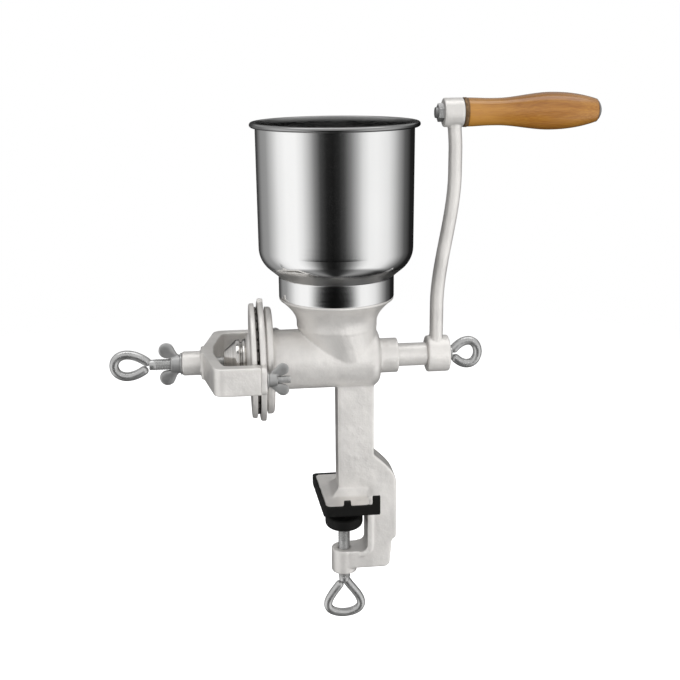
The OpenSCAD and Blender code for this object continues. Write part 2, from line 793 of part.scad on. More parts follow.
// The bridge that carries the adjusting screw
module yoke() {
    front = yoke_half();
    back = [for (i = [len(front) - 1:-1:0]) [front[i][0], -front[i][1]]];
    color(tinned_iron)
        difference() {
            union() {
                translate([0, 0, shaft_z - yoke_h / 2])
                    linear_extrude(height = yoke_h)
                        polygon(concat(front, back));
                turned_x([[0, boss_end_x], [yoke_boss_d / 2 - 1, boss_end_x],
                    [yoke_boss_d / 2, boss_end_x + 1], [yoke_boss_d / 2, bar_x], [0, bar_x]]);
            }
            rod_x(boss_end_x - over, bar_x + over, adjust_d / 2 + turn_gap);
            at_studs()
                rod_x(flange_x - stud_in, flange_x + over, stud_d / 2 + turn_gap, fn = small_fn);
        }
}

// Studs that stand out of the legs' ends
module yoke_bolts() {
    color(zinc_steel)
        at_studs()
            rod_x(flange_x - stud_in + 0.2, flange_back_x + stud_out, stud_d / 2, fn = small_fn);
}

// A plain washer along the shaft's direction
module washer_x(x, y, z, hole_r, r) {
    color(zinc_steel)
        difference() {
            rod_x(x, x + washer_t, r, z = z, y = y, fn = small_fn);
            rod_x(x - over, x + washer_t + over, hole_r, z = z, y = y, fn = small_fn);
        }
}

// One wing, an outline of [along, out] points given a thickness
module wing(lobe_r, lobe_out, lobe_along, root_r, root_along, t) {
    rotate([90, 0, 0])
        linear_extrude(height = t, center = true)
            hull() {
                translate([lobe_along, lobe_out])
                    circle(r = lobe_r, $fn = hull_fn);
                translate([root_along, root_r])
                    circle(r = 2, $fn = hull_fn);
                translate([root_along / 2, root_r / 2])
                    circle(r = 2, $fn = hull_fn);
            }
}

// A wing nut on the line of a stud, with its seat at x = 0 and its wings towards +X
module wing_nut(hub_r, hub_len, span, hole_r, wing_along, wing_t) {
    lobe_r = span * 0.18;
    difference() {
        union() {
            rotate([0, 90, 0])
                cylinder(h = hub_len, r1 = hub_r, r2 = hub_r * 0.8, $fn = small_fn);
            for (side = [0, 1])
                mirror([0, 0, side])
                    wing(lobe_r, span / 2 - lobe_r, wing_along - lobe_r, hub_r * 0.75,
                        hub_len - 2.4, wing_t);
        }
        translate([-over, 0, 0])
            rotate([0, 90, 0])
                cylinder(h = hub_len + wing_along + 2 * over, r = hole_r, $fn = small_fn);
    }
}

// Nut and washer of one stud, behind the flange's ear
module stud_washer(side) {
    washer_x(nut_seat_x, side * stud_y, shaft_z, stud_d / 2 + turn_gap, nut_hub_d / 2 + 1);
}

module stud_nut(side) {
    color(zinc_steel)
        translate([nut_seat_x + washer_t + face_gap, side * stud_y, shaft_z])
            wing_nut(nut_hub_d / 2, nut_hub_len, nut_span, stud_d / 2 + turn_gap, 15, 3);
}

module yoke_washer_front() {
    stud_washer(-1);
}

module yoke_washer_back() {
    stud_washer(1);
}

module yoke_wing_nut_front() {
    stud_nut(-1);
}

module yoke_wing_nut_back() {
    stud_nut(1);
}

// Eye screw that presses on the thrust ball
module adjusting_screw() {
    color(zinc_steel) {
        rod_x(adjust_eye_x, adjust_tip_x, adjust_d / 2);
        translate([adjust_eye_x + 3, 0, shaft_z])
            bent_eye(adjust_eye, 0.75);
    }
}

module lock_washer() {
    washer_x(lock_washer_x, 0, shaft_z, adjust_d / 2 + turn_gap, lock_hub_d / 2 + 1);
}

// Lock nut of the adjusting screw, with its wings leaning away from the yoke
module lock_wing_nut() {
    color(dark_iron)
        translate([lock_nut_x, 0, shaft_z])
            mirror([1, 0, 0])
                wing_nut(lock_hub_d / 2, lock_hub_len, lock_span, adjust_d / 2 + turn_gap,
                    lock_hub_len + lock_wing_reach, 4);
}

// Centre line of the crank's arm at height z
function arm_x(z) = arm_low_x
    + arm_lean * ease((z - shaft_z - crank_throw * 0.21) / (crank_throw * 0.55))
    - 1.5 * ease((z - shaft_z - crank_throw * 0.85) / (crank_throw * 0.15));

// The arm between hub and boss, an oval that gets slimmer on its way up
module crank_blade() {
    steps = 22;
    sides = 16;
    z0 = shaft_z + crank_hub_d / 2 - 5;
    z1 = grip_z - top_boss_d / 2 + 5;
    skin([for (i = [0:steps])
        let (t = i / steps, z = z0 + (z1 - z0) * t, w = arm_w * (1 - 0.22 * t) / 2)
        [for (j = [0:sides - 1])
            let (b = -360 * j / sides)
            [arm_x(z) + arm_t / 2 * cos(b), w * sin(b), z]]]);
}

// The crank's arm with its hub and its upper boss
module crank_arm() {
    flat_x = tenon_d / 2 - 1.6;
    hub_r = crank_hub_d / 2;
    color(tinned_iron)
        difference() {
            union() {
                turned_x([[0, crank_hub_x], [hub_r - 1, crank_hub_x], [hub_r, crank_hub_x + 1],
                    [hub_r, crank_hub_end_x - 1], [hub_r - 1, crank_hub_end_x],
                    [0, crank_hub_end_x]]);
                crank_blade();
                rod_x(top_boss_x, top_boss_x + top_boss_len, top_boss_d / 2, z = grip_z);
            }
            difference() {
                rod_x(crank_hub_x - over, crank_hub_x + tenon_len + 0.2,
                    tenon_d / 2 + turn_gap);
                translate([crank_hub_x - 2 * over, -tenon_d, shaft_z + flat_x + turn_gap])
                    cube([tenon_len + 4 * over, 2 * tenon_d, tenon_d]);
            }
            rod_x(crank_hub_x, crank_hub_end_x + over, crank_screw_d / 2 + turn_gap,
                fn = small_fn);
            rod_x(top_boss_x - over, top_boss_x + top_boss_len + over,
                grip_bolt_d / 2 + turn_gap, z = grip_z);
        }
}

module crank_washer() {
    washer_x(crank_washer_x, 0, shaft_z, crank_screw_d / 2 + turn_gap, crank_screw_d + 1);
}

// Eye screw that holds the crank's arm on the shaft
module crank_eye_screw() {
    color(zinc_steel) {
        rod_x(crank_hub_x + 4, crank_head_x + 2, crank_screw_d / 2, fn = small_fn);
        rod_x(crank_head_x, crank_head_x + 2, crank_screw_d / 2 + 1.5, fn = small_fn);
        translate([crank_head_x, 0, shaft_z])
            mirror([1, 0, 0])
                bent_eye(crank_eye, 0.55);
    }
}

// Radius of the grip at the share t of its length
function grip_r(t) =
    t < 0.22 ? grip_end_d / 2 + (grip_neck_d - grip_end_d) / 2 * ease(t / 0.18)
    : t < 0.64 ? grip_neck_d / 2 + (grip_max_d - grip_neck_d) / 2 * ease((t - 0.22) / 0.42)
    : grip_max_d / 2 - (grip_max_d - grip_tip_d) / 2 * pow((t - 0.64) / 0.36, 2.2);

// Turned wooden grip with a hole for its bolt
module grip() {
    steps = 24;
    bore_r = grip_bolt_d / 2 + turn_gap;
    color(varnished_wood)
        turned_x(concat([[bore_r, grip_x], [grip_end_d / 2 - 0.8, grip_x]],
            [for (i = [0:steps]) let (t = i / steps)
                [grip_r(t), grip_x + 0.8 + (grip_len - 1.6) * t]],
            [[grip_tip_d / 2 - 0.8, grip_x + grip_len], [bore_r, grip_x + grip_len]]),
            z = grip_z);
}

// Dark washer between the arm's boss and the grip
module grip_ferrule() {
    color(blued_steel)
        difference() {
            rod_x(ferrule_x, ferrule_x + ferrule_t, grip_end_d / 2 + 0.3, z = grip_z);
            rod_x(ferrule_x - over, ferrule_x + ferrule_t + over, grip_bolt_d / 2 + turn_gap,
                z = grip_z);
        }
}

// Bolt on which the grip turns
module grip_bolt() {
    head_t = 2.4;
    head_x = grip_x + grip_len + face_gap;
    color(blued_steel) {
        rod_x(top_boss_x - 6, head_x + head_t / 2, grip_bolt_d / 2, z = grip_z);
        turned_x([[0, head_x], [grip_tip_d / 2 - 1.6, head_x],
            [grip_tip_d / 2 - 1.9, head_x + head_t / 2], [grip_tip_d / 2 - 4, head_x + head_t],
            [0, head_x + head_t]], z = grip_z);
    }
}

// Hexagon nut on the end of the grip's bolt
module grip_nut() {
    nut_t = 4;
    color(zinc_steel)
        difference() {
            translate([top_boss_x - face_gap - nut_t, 0, grip_z])
                rotate([0, 90, 0])
                    cylinder(h = nut_t, d = grip_bolt_d * 1.75, $fn = 6);
            rod_x(top_boss_x - nut_t - 2 * over, top_boss_x, grip_bolt_d / 2 + turn_gap,
                z = grip_z);
        }
}

// Eye screw under the table
module clamp_screw() {
    shank_low_z = clamp_boss_z - 4;
    neck_z = foot_z - 1.5;
    color(zinc_steel) {
        translate([0, 0, shank_low_z - 3])
            cylinder(h = neck_z - shank_low_z + 3, r = clamp_d / 2, $fn = round_fn);
        translate([0, 0, neck_z - over])
            cylinder(h = swivel_len + 1.5 + over, r = swivel_r, $fn = small_fn);
        translate([0, 0, shank_low_z])
            rotate([0, -90, 180])
                bent_eye(clamp_eye, 2);
    }
}

// Steel foot that presses against the table's underside
module clamp_foot() {
    disc_r = foot_d / 2 - cap_t - 0.05;
    color(dark_iron)
        difference() {
            turned_z([[0, foot_z], [foot_nose_r, foot_z], [disc_r, foot_z + foot_cone_h],
                [disc_r, foot_top_z - cap_t - 0.05], [0, foot_top_z - cap_t - 0.05]]);
            translate([0, 0, foot_z - over])
                cylinder(h = swivel_len + over + 0.2, r = swivel_r + turn_gap, $fn = small_fn);
        }
}

// Rubber cap over the foot
module foot_cap() {
    lip_r = foot_d / 2 - cap_round;
    color(black_rubber)
        turned_z(concat(
            arc(foot_d / 2 - cap_round, foot_z + 0.6 + cap_round, cap_round, -90, 0, corner_steps),
            [[foot_d / 2, foot_top_z - 1], [foot_d / 2 - 1, foot_top_z], [0, foot_top_z],
                [0, foot_top_z - cap_t], [foot_d / 2 - cap_t, foot_top_z - cap_t],
                [foot_d / 2 - cap_t, foot_z + foot_cone_h - 0.1],
                [lip_r, foot_z - 0.1 + foot_cone_h * (lip_r - foot_nose_r)
                    / (foot_d / 2 - cap_t - foot_nose_r)]]));
}

// Rubber tray under the upper jaw, with lips, an ear and a nub
module jaw_pad() {
    x1 = jaw_right + face_gap;
    y1 = jaw_depth / 2 + face_gap + lip_t;
    color(black_rubber) {
        difference() {
            linear_extrude(height = jaw_top_z + 0.4)
                polygon(jaw_plan(face_gap + lip_t));
            translate([0, 0, jaw_z - face_gap])
                linear_extrude(height = jaw_t + 2 * over)
                    polygon(jaw_plan(face_gap));
            translate([x1 - lip_t / 2, -y1 - over, -over])
                cube([2 * lip_t, 2 * (y1 + over), jaw_top_z + 3 * over]);
        }
        translate([x1 - lip_t, -y1, 0])
            cube([pad_ear_out + lip_t, lip_t, jaw_top_z + 0.4]);
        translate([x1 + pad_ear_out - pad_ear_w, -y1, 0])
            cube([pad_ear_w, lip_t, jaw_top_z + pad_ear_h]);
        translate([-pad_clip_w / 2 - 1, -y1, jaw_top_z + face_gap])
            cube([pad_clip_w, lip_t + 1.5, 4.4]);
    }
}

mill_body();
hopper();
auger();
stationary_burr();
stationary_burr_screws();
burr_carrier();
rotating_burr();
rotating_burr_screws();
drive_pin();
thrust_ball();
yoke();
yoke_bolts();
yoke_washer_front();
yoke_washer_back();
yoke_wing_nut_front();
yoke_wing_nut_back();
adjusting_screw();
lock_washer();
lock_wing_nut();
crank_arm();
crank_washer();
crank_eye_screw();
grip();
grip_ferrule();
grip_bolt();
grip_nut();
clamp_screw();
clamp_foot();
foot_cap();
jaw_pad();
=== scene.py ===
"""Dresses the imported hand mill: castings with worn edges, a spun steel hopper, threaded
eye screws, wing nuts, a varnished grip and the rubber of the clamp, on a plain stage."""

import json
import math

import bmesh
import bpy
import numpy as np
from bpy.props import FloatProperty, FloatVectorProperty, IntProperty, PointerProperty
from mathutils import Matrix, Vector

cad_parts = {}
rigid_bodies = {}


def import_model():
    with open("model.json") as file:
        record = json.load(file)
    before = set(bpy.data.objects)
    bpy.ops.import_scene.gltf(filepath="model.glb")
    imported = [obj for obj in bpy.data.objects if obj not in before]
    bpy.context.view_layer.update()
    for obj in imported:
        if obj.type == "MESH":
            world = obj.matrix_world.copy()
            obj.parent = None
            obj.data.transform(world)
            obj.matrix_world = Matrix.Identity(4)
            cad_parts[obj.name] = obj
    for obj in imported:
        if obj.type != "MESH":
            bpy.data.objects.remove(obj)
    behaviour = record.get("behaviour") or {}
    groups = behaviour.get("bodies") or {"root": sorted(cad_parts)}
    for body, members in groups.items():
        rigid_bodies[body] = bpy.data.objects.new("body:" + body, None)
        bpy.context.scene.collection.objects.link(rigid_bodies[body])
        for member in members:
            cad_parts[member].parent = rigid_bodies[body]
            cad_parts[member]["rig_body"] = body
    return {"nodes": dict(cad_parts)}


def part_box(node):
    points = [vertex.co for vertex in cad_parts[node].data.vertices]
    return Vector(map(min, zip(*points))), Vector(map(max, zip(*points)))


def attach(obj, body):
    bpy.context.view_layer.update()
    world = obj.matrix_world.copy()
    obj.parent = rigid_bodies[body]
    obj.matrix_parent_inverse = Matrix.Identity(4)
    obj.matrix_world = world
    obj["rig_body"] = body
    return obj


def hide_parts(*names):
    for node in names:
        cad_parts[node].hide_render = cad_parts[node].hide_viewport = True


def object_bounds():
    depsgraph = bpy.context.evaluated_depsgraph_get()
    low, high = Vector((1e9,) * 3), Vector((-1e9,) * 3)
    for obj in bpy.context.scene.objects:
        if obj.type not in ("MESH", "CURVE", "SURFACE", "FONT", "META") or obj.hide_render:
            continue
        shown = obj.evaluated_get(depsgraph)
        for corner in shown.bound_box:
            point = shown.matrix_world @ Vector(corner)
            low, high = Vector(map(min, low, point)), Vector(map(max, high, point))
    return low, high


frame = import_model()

bl_info = {
    "name": "Hand mill finishes",
    "version": (1, 0, 0),
    "blender": (4, 5, 0),
    "location": "View3D > Sidebar > Hand mill",
    "description": "Builds the looks of a hand crank mill around its solids",
    "category": "Object",
}

NODES = frame["nodes"]
SOLID_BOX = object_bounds()
MM = 0.001
SAME = 0.002 * MM  # points nearer than this are one
X, Y, Z = np.eye(3)


def middle(node):
    """Centre of a node's box."""
    low, high = np.array(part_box(node))
    return (low + high) / 2


# a point of each axis
SHAFT = np.array((0.0, 0.0, middle("thrust_ball")[2]))
GRIP_AXIS = np.array((0.0, 0.0, middle("grip")[2]))
HOPPER_AXIS = np.array((middle("hopper")[0], 0.0, 0.0))
CLAMP_AXIS = np.zeros(3)


# ---------------------------------------------------------------- surfaces


def quads(rows, cols, wrap_rows, wrap_cols):
    """Corner numbers of the quads of a grid: (i, j), (i, j+1), (i+1, j+1), (i+1, j)."""
    i, j = np.meshgrid(
        np.arange(rows - (not wrap_rows)),
        np.arange(cols - (not wrap_cols)),
        indexing="ij",
    )
    i, j = i.ravel(), j.ravel()
    below, beside = (i + 1) % rows, (j + 1) % cols
    return np.stack(
        (i * cols + j, i * cols + beside, below * cols + beside, below * cols + j), 1
    )


def piece(name, grids):
    """One object from (grid, wrap_rows, wrap_cols) surfaces. Points that meet are merged,
    so a row of radius 0 becomes a pole, and all faces are turned outwards."""
    points, faces, first = [], [], 0
    for grid, wrap_rows, wrap_cols in grids:
        rows, cols = grid.shape[:2]
        points.append(grid.reshape(-1, 3))
        faces.append(first + quads(rows, cols, wrap_rows, wrap_cols))
        first += rows * cols
    mesh = bpy.data.meshes.new(name)
    mesh.from_pydata(np.concatenate(points).tolist(), [], np.concatenate(faces).tolist())
    tidy_mesh(mesh)
    obj = bpy.data.objects.new(name, mesh)
    bpy.context.scene.collection.objects.link(obj)
    return obj


def tidy_mesh(mesh, turn=True):
    """Merges doubles, turns the faces outwards if asked, and shades the mesh smooth."""
    work = bmesh.new()
    work.from_mesh(mesh)
    bmesh.ops.remove_doubles(work, verts=work.verts, dist=SAME)
    if turn:
        bmesh.ops.recalc_face_normals(work, faces=work.faces)
    work.to_mesh(mesh)
    work.free()
    mesh.polygons.foreach_set("use_smooth", np.ones(len(mesh.polygons), bool))
    mesh.update()


def ease(t):
    """Goes from 0 to 1 with level ends: u^2 (3 - 2u), where u is t kept between 0 and 1."""
    u = np.clip(t, 0, 1)
    return u * u * (3 - 2 * u)


def arc(x, y, radius, start, stop, steps):
    """Points of an arc round (x, y), from one angle in degrees to another."""
    a = np.radians(np.linspace(start, stop, steps))
    return np.stack((x + radius * np.cos(a), y + radius * np.sin(a)), 1)


def soft_corners(points, radius, steps=6):
    """A closed outline whose corners are cut back by radius and bridged by the curve
    (1-t)^2 a + 2t(1-t) corner + t^2 b. The radius may differ from corner to corner."""
    p = np.asarray(points, float)
    to_last, to_next = np.roll(p, 1, 0) - p, np.roll(p, -1, 0) - p
    last_len = np.linalg.norm(to_last, axis=1)
    next_len = np.linalg.norm(to_next, axis=1)
    cut = np.minimum(radius, 0.48 * np.minimum(last_len, next_len))
    a = p + to_last * (cut / last_len)[:, None]
    b = p + to_next * (cut / next_len)[:, None]
    t = np.linspace(0, 1, steps)[None, :, None]
    curve = (1 - t) ** 2 * a[:, None] + 2 * t * (1 - t) * p[:, None] + t * t * b[:, None]
    return curve.reshape(-1, 2)


def spokes(along, b):
    """Unit vectors across a line at the angles b: cos b * p + sin b * q."""
    p = Z if abs(along[2]) < 0.5 else X
    q = np.cross(along, p)
    return np.cos(b) * p + np.sin(b) * q


def turned(profile, along, through, sides=96):
    """Turns a closed outline of (radius, place) points about a line: each point goes to
    through + place * along + radius * spoke."""
    b = np.linspace(0, 2 * math.pi, sides, endpoint=False)[:, None, None]
    radius, place = profile[None, :, 0, None], profile[None, :, 1, None]
    return through + along * place + radius * spokes(along, b), True, True


def loft(centres, across, through, half_across, half_through, sides=40, square=2.0):
    """Rings along a line: centre + across * u * a + through * v * b, where (u, v) runs
    round the curve |u|^square + |v|^square = 1."""
    b = np.linspace(0, 2 * math.pi, sides, endpoint=False)
    u = np.sign(np.cos(b)) * np.abs(np.cos(b)) ** (2 / square)
    v = np.sign(np.sin(b)) * np.abs(np.sin(b)) ** (2 / square)
    wide = half_across[:, None, None] * u[None, :, None] * across[:, None, :]
    deep = half_through[:, None, None] * v[None, :, None] * through[:, None, :]
    return centres[:, None, :] + wide + deep, False, True


def cap(ring, centre):
    """Closes a ring with a fan about its centre."""
    return np.stack((ring, np.broadcast_to(centre, ring.shape))), False, True


def bent_rod(path, radius, flat, sides=28):
    """A round rod along a path that lies in the plane with the normal flat. At the
    distance s from either end its radius is r * sqrt(1 - (1 - s/r)^2), half a ball."""
    step = np.gradient(path, axis=0)
    step /= np.linalg.norm(step, axis=1)[:, None]
    through = np.broadcast_to(flat, path.shape)
    across = np.cross(step, through)
    gone = np.concatenate(([0], np.cumsum(np.linalg.norm(np.diff(path, axis=0), axis=1))))
    near = np.minimum(gone, gone[-1] - gone)
    share = np.sqrt(np.clip(1 - (1 - np.clip(near / radius, 0, 1)) ** 2, 0, 1))
    share[0] = share[-1] = 0
    return loft(path, across, through, radius * share, radius * share, sides)


def thread(start, end, radius, pitch, along, through, sides=36):
    """A screw's shank. The radius is the crest's on the helix place/pitch = angle/2pi and
    less by depth midway between its turns. At both ends the thread runs out to its core."""
    depth, core = 0.55 * pitch, radius - 0.35 * pitch
    rows = int(abs(end - start) / pitch * 8) + 2
    place = np.linspace(start, end, rows)
    turn = np.linspace(0, 1, sides, endpoint=False)
    wave = place[:, None] / pitch - turn[None, :]
    away = 1 - np.abs(2 * (wave - np.floor(wave)) - 1)
    run = np.clip(np.minimum(place - start, end - place) / (1.5 * pitch), 0, 1)[:, None]
    r = core + (radius - core - depth * away) * run
    place = np.concatenate(([start], place, [end]))[:, None, None]
    r = np.concatenate((np.zeros((1, sides)), r, np.zeros((1, sides))))[:, :, None]
    ring = spokes(along, 2 * math.pi * turn[None, :, None])
    return through + along * place + r * ring, False, True


def settle(obj):
    """Puts the result of an object's modifiers into its mesh."""
    view = bpy.context.evaluated_depsgraph_get()
    made = bpy.data.meshes.new_from_object(obj.evaluated_get(view))
    obj.modifiers.clear()
    obj.data = made
    made.polygons.foreach_set("use_smooth", np.ones(len(made.polygons), bool))


def melt(obj, cell, rounds, bores=(), grooves=()):
    """Melts what touches in a piece into one skin of small cells and evens it out, which
    rounds its edges as casting and tumbling do. A bore (along, through, radius, from, to)
    keeps its radius: the points just inside it are moved out to it. Points in a groove,
    given the same way, are moved in to its radius."""
    most_triangles, slack = 190000, 1.2 * MM
    skin = obj.modifiers.new("skin", "REMESH")
    skin.mode, skin.voxel_size = "VOXEL", cell
    even = obj.modifiers.new("even", "SMOOTH")
    even.factor, even.iterations = 0.5, rounds
    settle(obj)
    triangles = 2 * len(obj.data.polygons)
    if triangles > most_triangles:
        thin = obj.modifiers.new("thin", "DECIMATE")
        thin.ratio = most_triangles / triangles
        settle(obj)
    at = np.empty(3 * len(obj.data.vertices), np.float32)
    obj.data.vertices.foreach_get("co", at)
    at = at.reshape(-1, 3).astype(float)
    for cuts, inwards in ((bores, False), (grooves, True)):
        for along, through, radius, low, high in cuts:
            place = (at - through) @ along
            out = at - through - place[:, None] * along
            r = np.linalg.norm(out, axis=1)
            wrong = r > radius if inwards else (r < radius) & (r > radius - slack)
            moved = wrong & (place > low) & (place < high)
            at[moved] += out[moved] * (radius / r[moved] - 1)[:, None]
    obj.data.vertices.foreach_set("co", at.astype(np.float32).ravel())
    obj.data.update()


def cast_copy(node, name, cell, rounds, bores=(), grooves=()):
    """A copy of a solid as a casting with soft edges."""
    mesh = NODES[node].data.copy()
    tidy_mesh(mesh, turn=False)
    obj = bpy.data.objects.new(name, mesh)
    bpy.context.scene.collection.objects.link(obj)
    melt(obj, cell, rounds, bores, grooves)
    return obj


def dress(obj, material, node):
    """Gives a new piece its finish and its node's body, and lets it stand for the node."""
    obj.data.materials.clear()
    obj.data.materials.append(material)
    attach(obj, NODES[node]["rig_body"])
    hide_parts(node)


# ---------------------------------------------------------------- finishes


class Wire:
    """A socket that takes part in sums. Each operator adds one Math node."""

    def __init__(self, web, socket):
        self.web, self.socket = web, socket

    def __add__(self, other):
        return self.web.maths("ADD", self, other)

    def __sub__(self, other):
        return self.web.maths("SUBTRACT", self, other)

    def __rsub__(self, other):
        return self.web.maths("SUBTRACT", other, self)

    def __mul__(self, other):
        return self.web.maths("MULTIPLY", self, other)

    def __truediv__(self, other):
        return self.web.maths("DIVIDE", self, other)

    __radd__, __rmul__ = __add__, __mul__


class Web:
    """The nodes of a material or of the world."""

    def __init__(self, owner):
        owner.use_nodes = True
        self.owner, self.tree = owner, owner.node_tree

    def feed(self, socket, value):
        """Links a wire to a socket, or sets the socket to a value."""
        if isinstance(value, Wire):
            self.tree.links.new(value.socket, socket)
        else:
            socket.default_value = value

    def node(self, kind, settings=None, sockets=None, out=0):
        """Adds a node, makes its settings, then feeds its sockets with values or wires."""
        made = self.tree.nodes.new(kind)
        for key, value in (settings or {}).items():
            if key == "stops":
                ramp = made.color_ramp
                ramp.elements.remove(ramp.elements[1])
                for number, (place, colour) in enumerate(value):
                    stop = ramp.elements.new(place) if number else ramp.elements[0]
                    stop.position, stop.color = place, colour
            else:
                setattr(made, key, value)
        for key, value in (sockets or {}).items():
            self.feed(made.inputs[key], value)
        return Wire(self, made.outputs[out])

    def maths(self, operation, *values):
        """A Math node on values or wires, in their order."""
        return self.node("ShaderNodeMath", {"operation": operation}, dict(enumerate(values)))

    def place(self, output="Object"):
        """The three coordinates of a point, on the object's own axes if no other output
        of Texture Coordinate is named."""
        at = self.node("ShaderNodeTexCoord", out=output)
        split = self.node("ShaderNodeSeparateXYZ", None, {0: at})
        return [Wire(self, socket) for socket in split.socket.node.outputs]

    def mix(self, share, low, high):
        """A colour between low and high."""
        return self.node(
            "ShaderNodeMix", {"data_type": "RGBA"}, {0: share, 6: low, 7: high}, 2
        )

    def step(self, value, low, high):
        """Goes smoothly from 0 where value is low to 1 where it is high."""
        return self.node(
            "ShaderNodeMapRange",
            {"interpolation_type": "SMOOTHSTEP"},
            {"Value": value, "From Min": low, "From Max": high},
        )

    def noise(self, scale, detail=3.0, stretch=(1, 1, 1), shift=(0, 0, 0)):
        """Noise on the object's own coordinates, scale per metre."""
        place = self.node("ShaderNodeTexCoord", out="Object")
        place = self.node(
            "ShaderNodeMapping", None, {"Vector": place, "Scale": stretch, "Location": shift}
        )
        return self.node(
            "ShaderNodeTexNoise", None, {"Vector": place, "Scale": scale, "Detail": detail}
        )


class Finish(Web):
    """A material whose shader is Principled. What is the same all over is set at once."""

    def __init__(self, name, **same):
        super().__init__(bpy.data.materials.new(name))
        self.shader = self.tree.nodes["Principled BSDF"]
        for key, value in same.items():
            self.inlet(key).default_value = value

    def inlet(self, key):
        """The shader's socket for a keyword, such as Base Color for base_color."""
        return self.shader.inputs[key.replace("_", " ").title().replace("Ior", "IOR")]

    def wear(self, **over):
        """Feeds the sockets that vary over the surface."""
        for key, value in over.items():
            self.feed(self.inlet(key), value)
        return self.owner

    def relief(self, height, depth, under=None):
        """A bump of that depth in metres, on top of another."""
        sockets = {"Height": height, "Distance": depth, "Strength": 1.0}
        if under:
            sockets["Normal"] = under
        return self.node("ShaderNodeBump", None, sockets, "Normal")

    def edges(self, low, high):
        """1 on worn edges, or in hollows where low is above high."""
        return self.step(self.node("ShaderNodeNewGeometry", out="Pointiness"), low, high)


def shade(colour, share=1.0):
    """A colour for a socket, made lighter or darker."""
    return (*(min(1.0, c * share) for c in colour[:3]), 1.0)


def grey(value):
    """A grey for a socket."""
    return (value, value, value, 1.0)


def tinned_casting(name, colour, shift=(0, 0, 0), turned=None):
    """Hot-tinned sand casting: soft sheen, clouds in the tin, sand grain under it, painted
    shade in the hollows and brighter metal on the rubbed edges. Left of turned, if it is
    given, the surface is bare and shows the rings of the lathe, with darker painted shade
    in its hollows."""
    tin_metallic, bare_metallic, bare_rough = 0.55, 0.97, 0.16
    f = Finish(name, metallic=tin_metallic, specular_ior_level=0.5)
    cloud = f.noise(38, 5, shift=shift)
    flow = f.noise(110, 3, (1, 1, 0.35), shift)
    sand = f.noise(950, 4, shift=shift)
    dents = f.noise(160, 2, shift=shift)
    base = f.mix(f.step(cloud, 0.3, 0.7), shade(colour, 0.91), shade(colour, 1.05))
    base = f.mix(f.step(flow, 0.55, 0.8) * 0.4, base, shade(colour, 0.82))
    base = f.mix(f.step(sand, 0.45, 0.8) * 0.15, base, shade(colour, 0.8))
    # painted shade: the hollows are darkened to under half the tin's colour
    base = f.mix(f.edges(0.49, 0.44) * 0.55, base, shade(colour, 0.45))
    base = f.mix(f.edges(0.52, 0.6) * 0.5, base, shade(colour, 1.25))
    rough = 0.34 + 0.12 * f.step(cloud, 0.3, 0.75) + 0.08 * f.step(sand, 0.4, 0.7)
    if turned is None:
        bump = f.relief(dents, 0.5 * MM)
        bump = f.relief(sand, 0.09 * MM, bump)
        return f.wear(base_color=base, roughness=rough, normal=bump)
    bare = f.step(f.place()[0], turned + 0.3 * MM, turned - 0.3 * MM)
    rings = f.noise(1.0, 2, (2600, 20, 20))
    metal = f.mix(f.step(rings, 0.35, 0.7), shade(colour, 0.8), shade(colour, 1.1))
    # painted shade: the hollows of the bare turned metal are darkened nearly to black
    metal = f.mix(f.edges(0.49, 0.43) * 0.9, metal, shade(colour, 0.12))
    base = f.mix(bare, base, metal)
    metallic = tin_metallic + (bare_metallic - tin_metallic) * bare
    rough = rough - bare * (rough - bare_rough)
    bump = f.relief(dents * (1 - bare), 0.5 * MM)
    bump = f.relief(rings * bare + sand * (1 - bare), 0.06 * MM, bump)
    return f.wear(base_color=base, metallic=metallic, roughness=rough, normal=bump)


def spun_steel(name, colour, low, high, rim):
    """Polished stainless sheet with the fine turning lines that spinning leaves. The
    cone between the collar and the shoulder, from low to high, is left dull and darkened
    with painted shade, and so is the rolled rim."""
    f = Finish(name, metallic=1.0)
    height = f.place()[2]
    dull = f.step(height, high + 4 * MM, high) * f.step(height, low - 0.3 * MM, low + 0.6 * MM)
    rolled = f.step(height, rim - 4.2 * MM, rim - 3.4 * MM)
    lines = f.noise(1.0, 2, (30, 30, 5200))
    smear = f.noise(26, 4, (1, 1, 0.6))
    base = f.mix(f.step(smear, 0.35, 0.75) * 0.6, shade(colour), shade(colour, 0.95))
    # painted shade: the cone under the shoulder is darkened to half, besides being rougher
    base = f.mix(dull, base, shade(colour, 0.5))
    # painted shade: the rolled rim is darkened as if shaded, besides being rougher
    base = f.mix(rolled, base, shade(colour, 0.42))
    rough = 0.055 + 0.05 * f.step(lines, 0.35, 0.7) + 0.05 * f.step(smear, 0.5, 0.8)
    rough = rough + 0.28 * dull + 0.12 * rolled
    return f.wear(base_color=base, roughness=rough, normal=f.relief(lines, 0.003 * MM))


def plated_steel(name, colour, dull=0.0):
    """Zinc-plated steel: bright, slightly clouded, painted shade in the roots and joints."""
    f = Finish(name, metallic=0.9)
    cloud = f.noise(140, 4)
    grain = f.noise(1500, 3)
    base = f.mix(f.step(cloud, 0.35, 0.7), shade(colour, 0.9), shade(colour, 1.06))
    # painted shade: the roots and joints are darkened to about a third
    base = f.mix(f.edges(0.49, 0.42) * 0.7, base, shade(colour, 0.35))
    rough = 0.2 + dull + 0.14 * f.step(cloud, 0.3, 0.75) + 0.08 * grain
    return f.wear(base_color=base, roughness=rough, normal=f.relief(grain, 0.04 * MM))


def ground_iron(name, colour):
    """Hard white iron of the burrs: fine grinding marks and dark pits."""
    f = Finish(name, metallic=0.8)
    grind = f.noise(700, 4, (3, 1, 1))
    pits = f.noise(1300, 3)
    cloud = f.noise(90, 4)
    base = f.mix(f.step(grind, 0.3, 0.7), shade(colour, 0.75), shade(colour, 1.15))
    base = f.mix(f.step(pits, 0.62, 0.75) * 0.6, base, shade(colour, 0.35))
    rough = 0.36 + 0.2 * f.step(cloud, 0.3, 0.7) + 0.12 * grind
    return f.wear(base_color=base, roughness=rough, normal=f.relief(pits, 0.1 * MM))


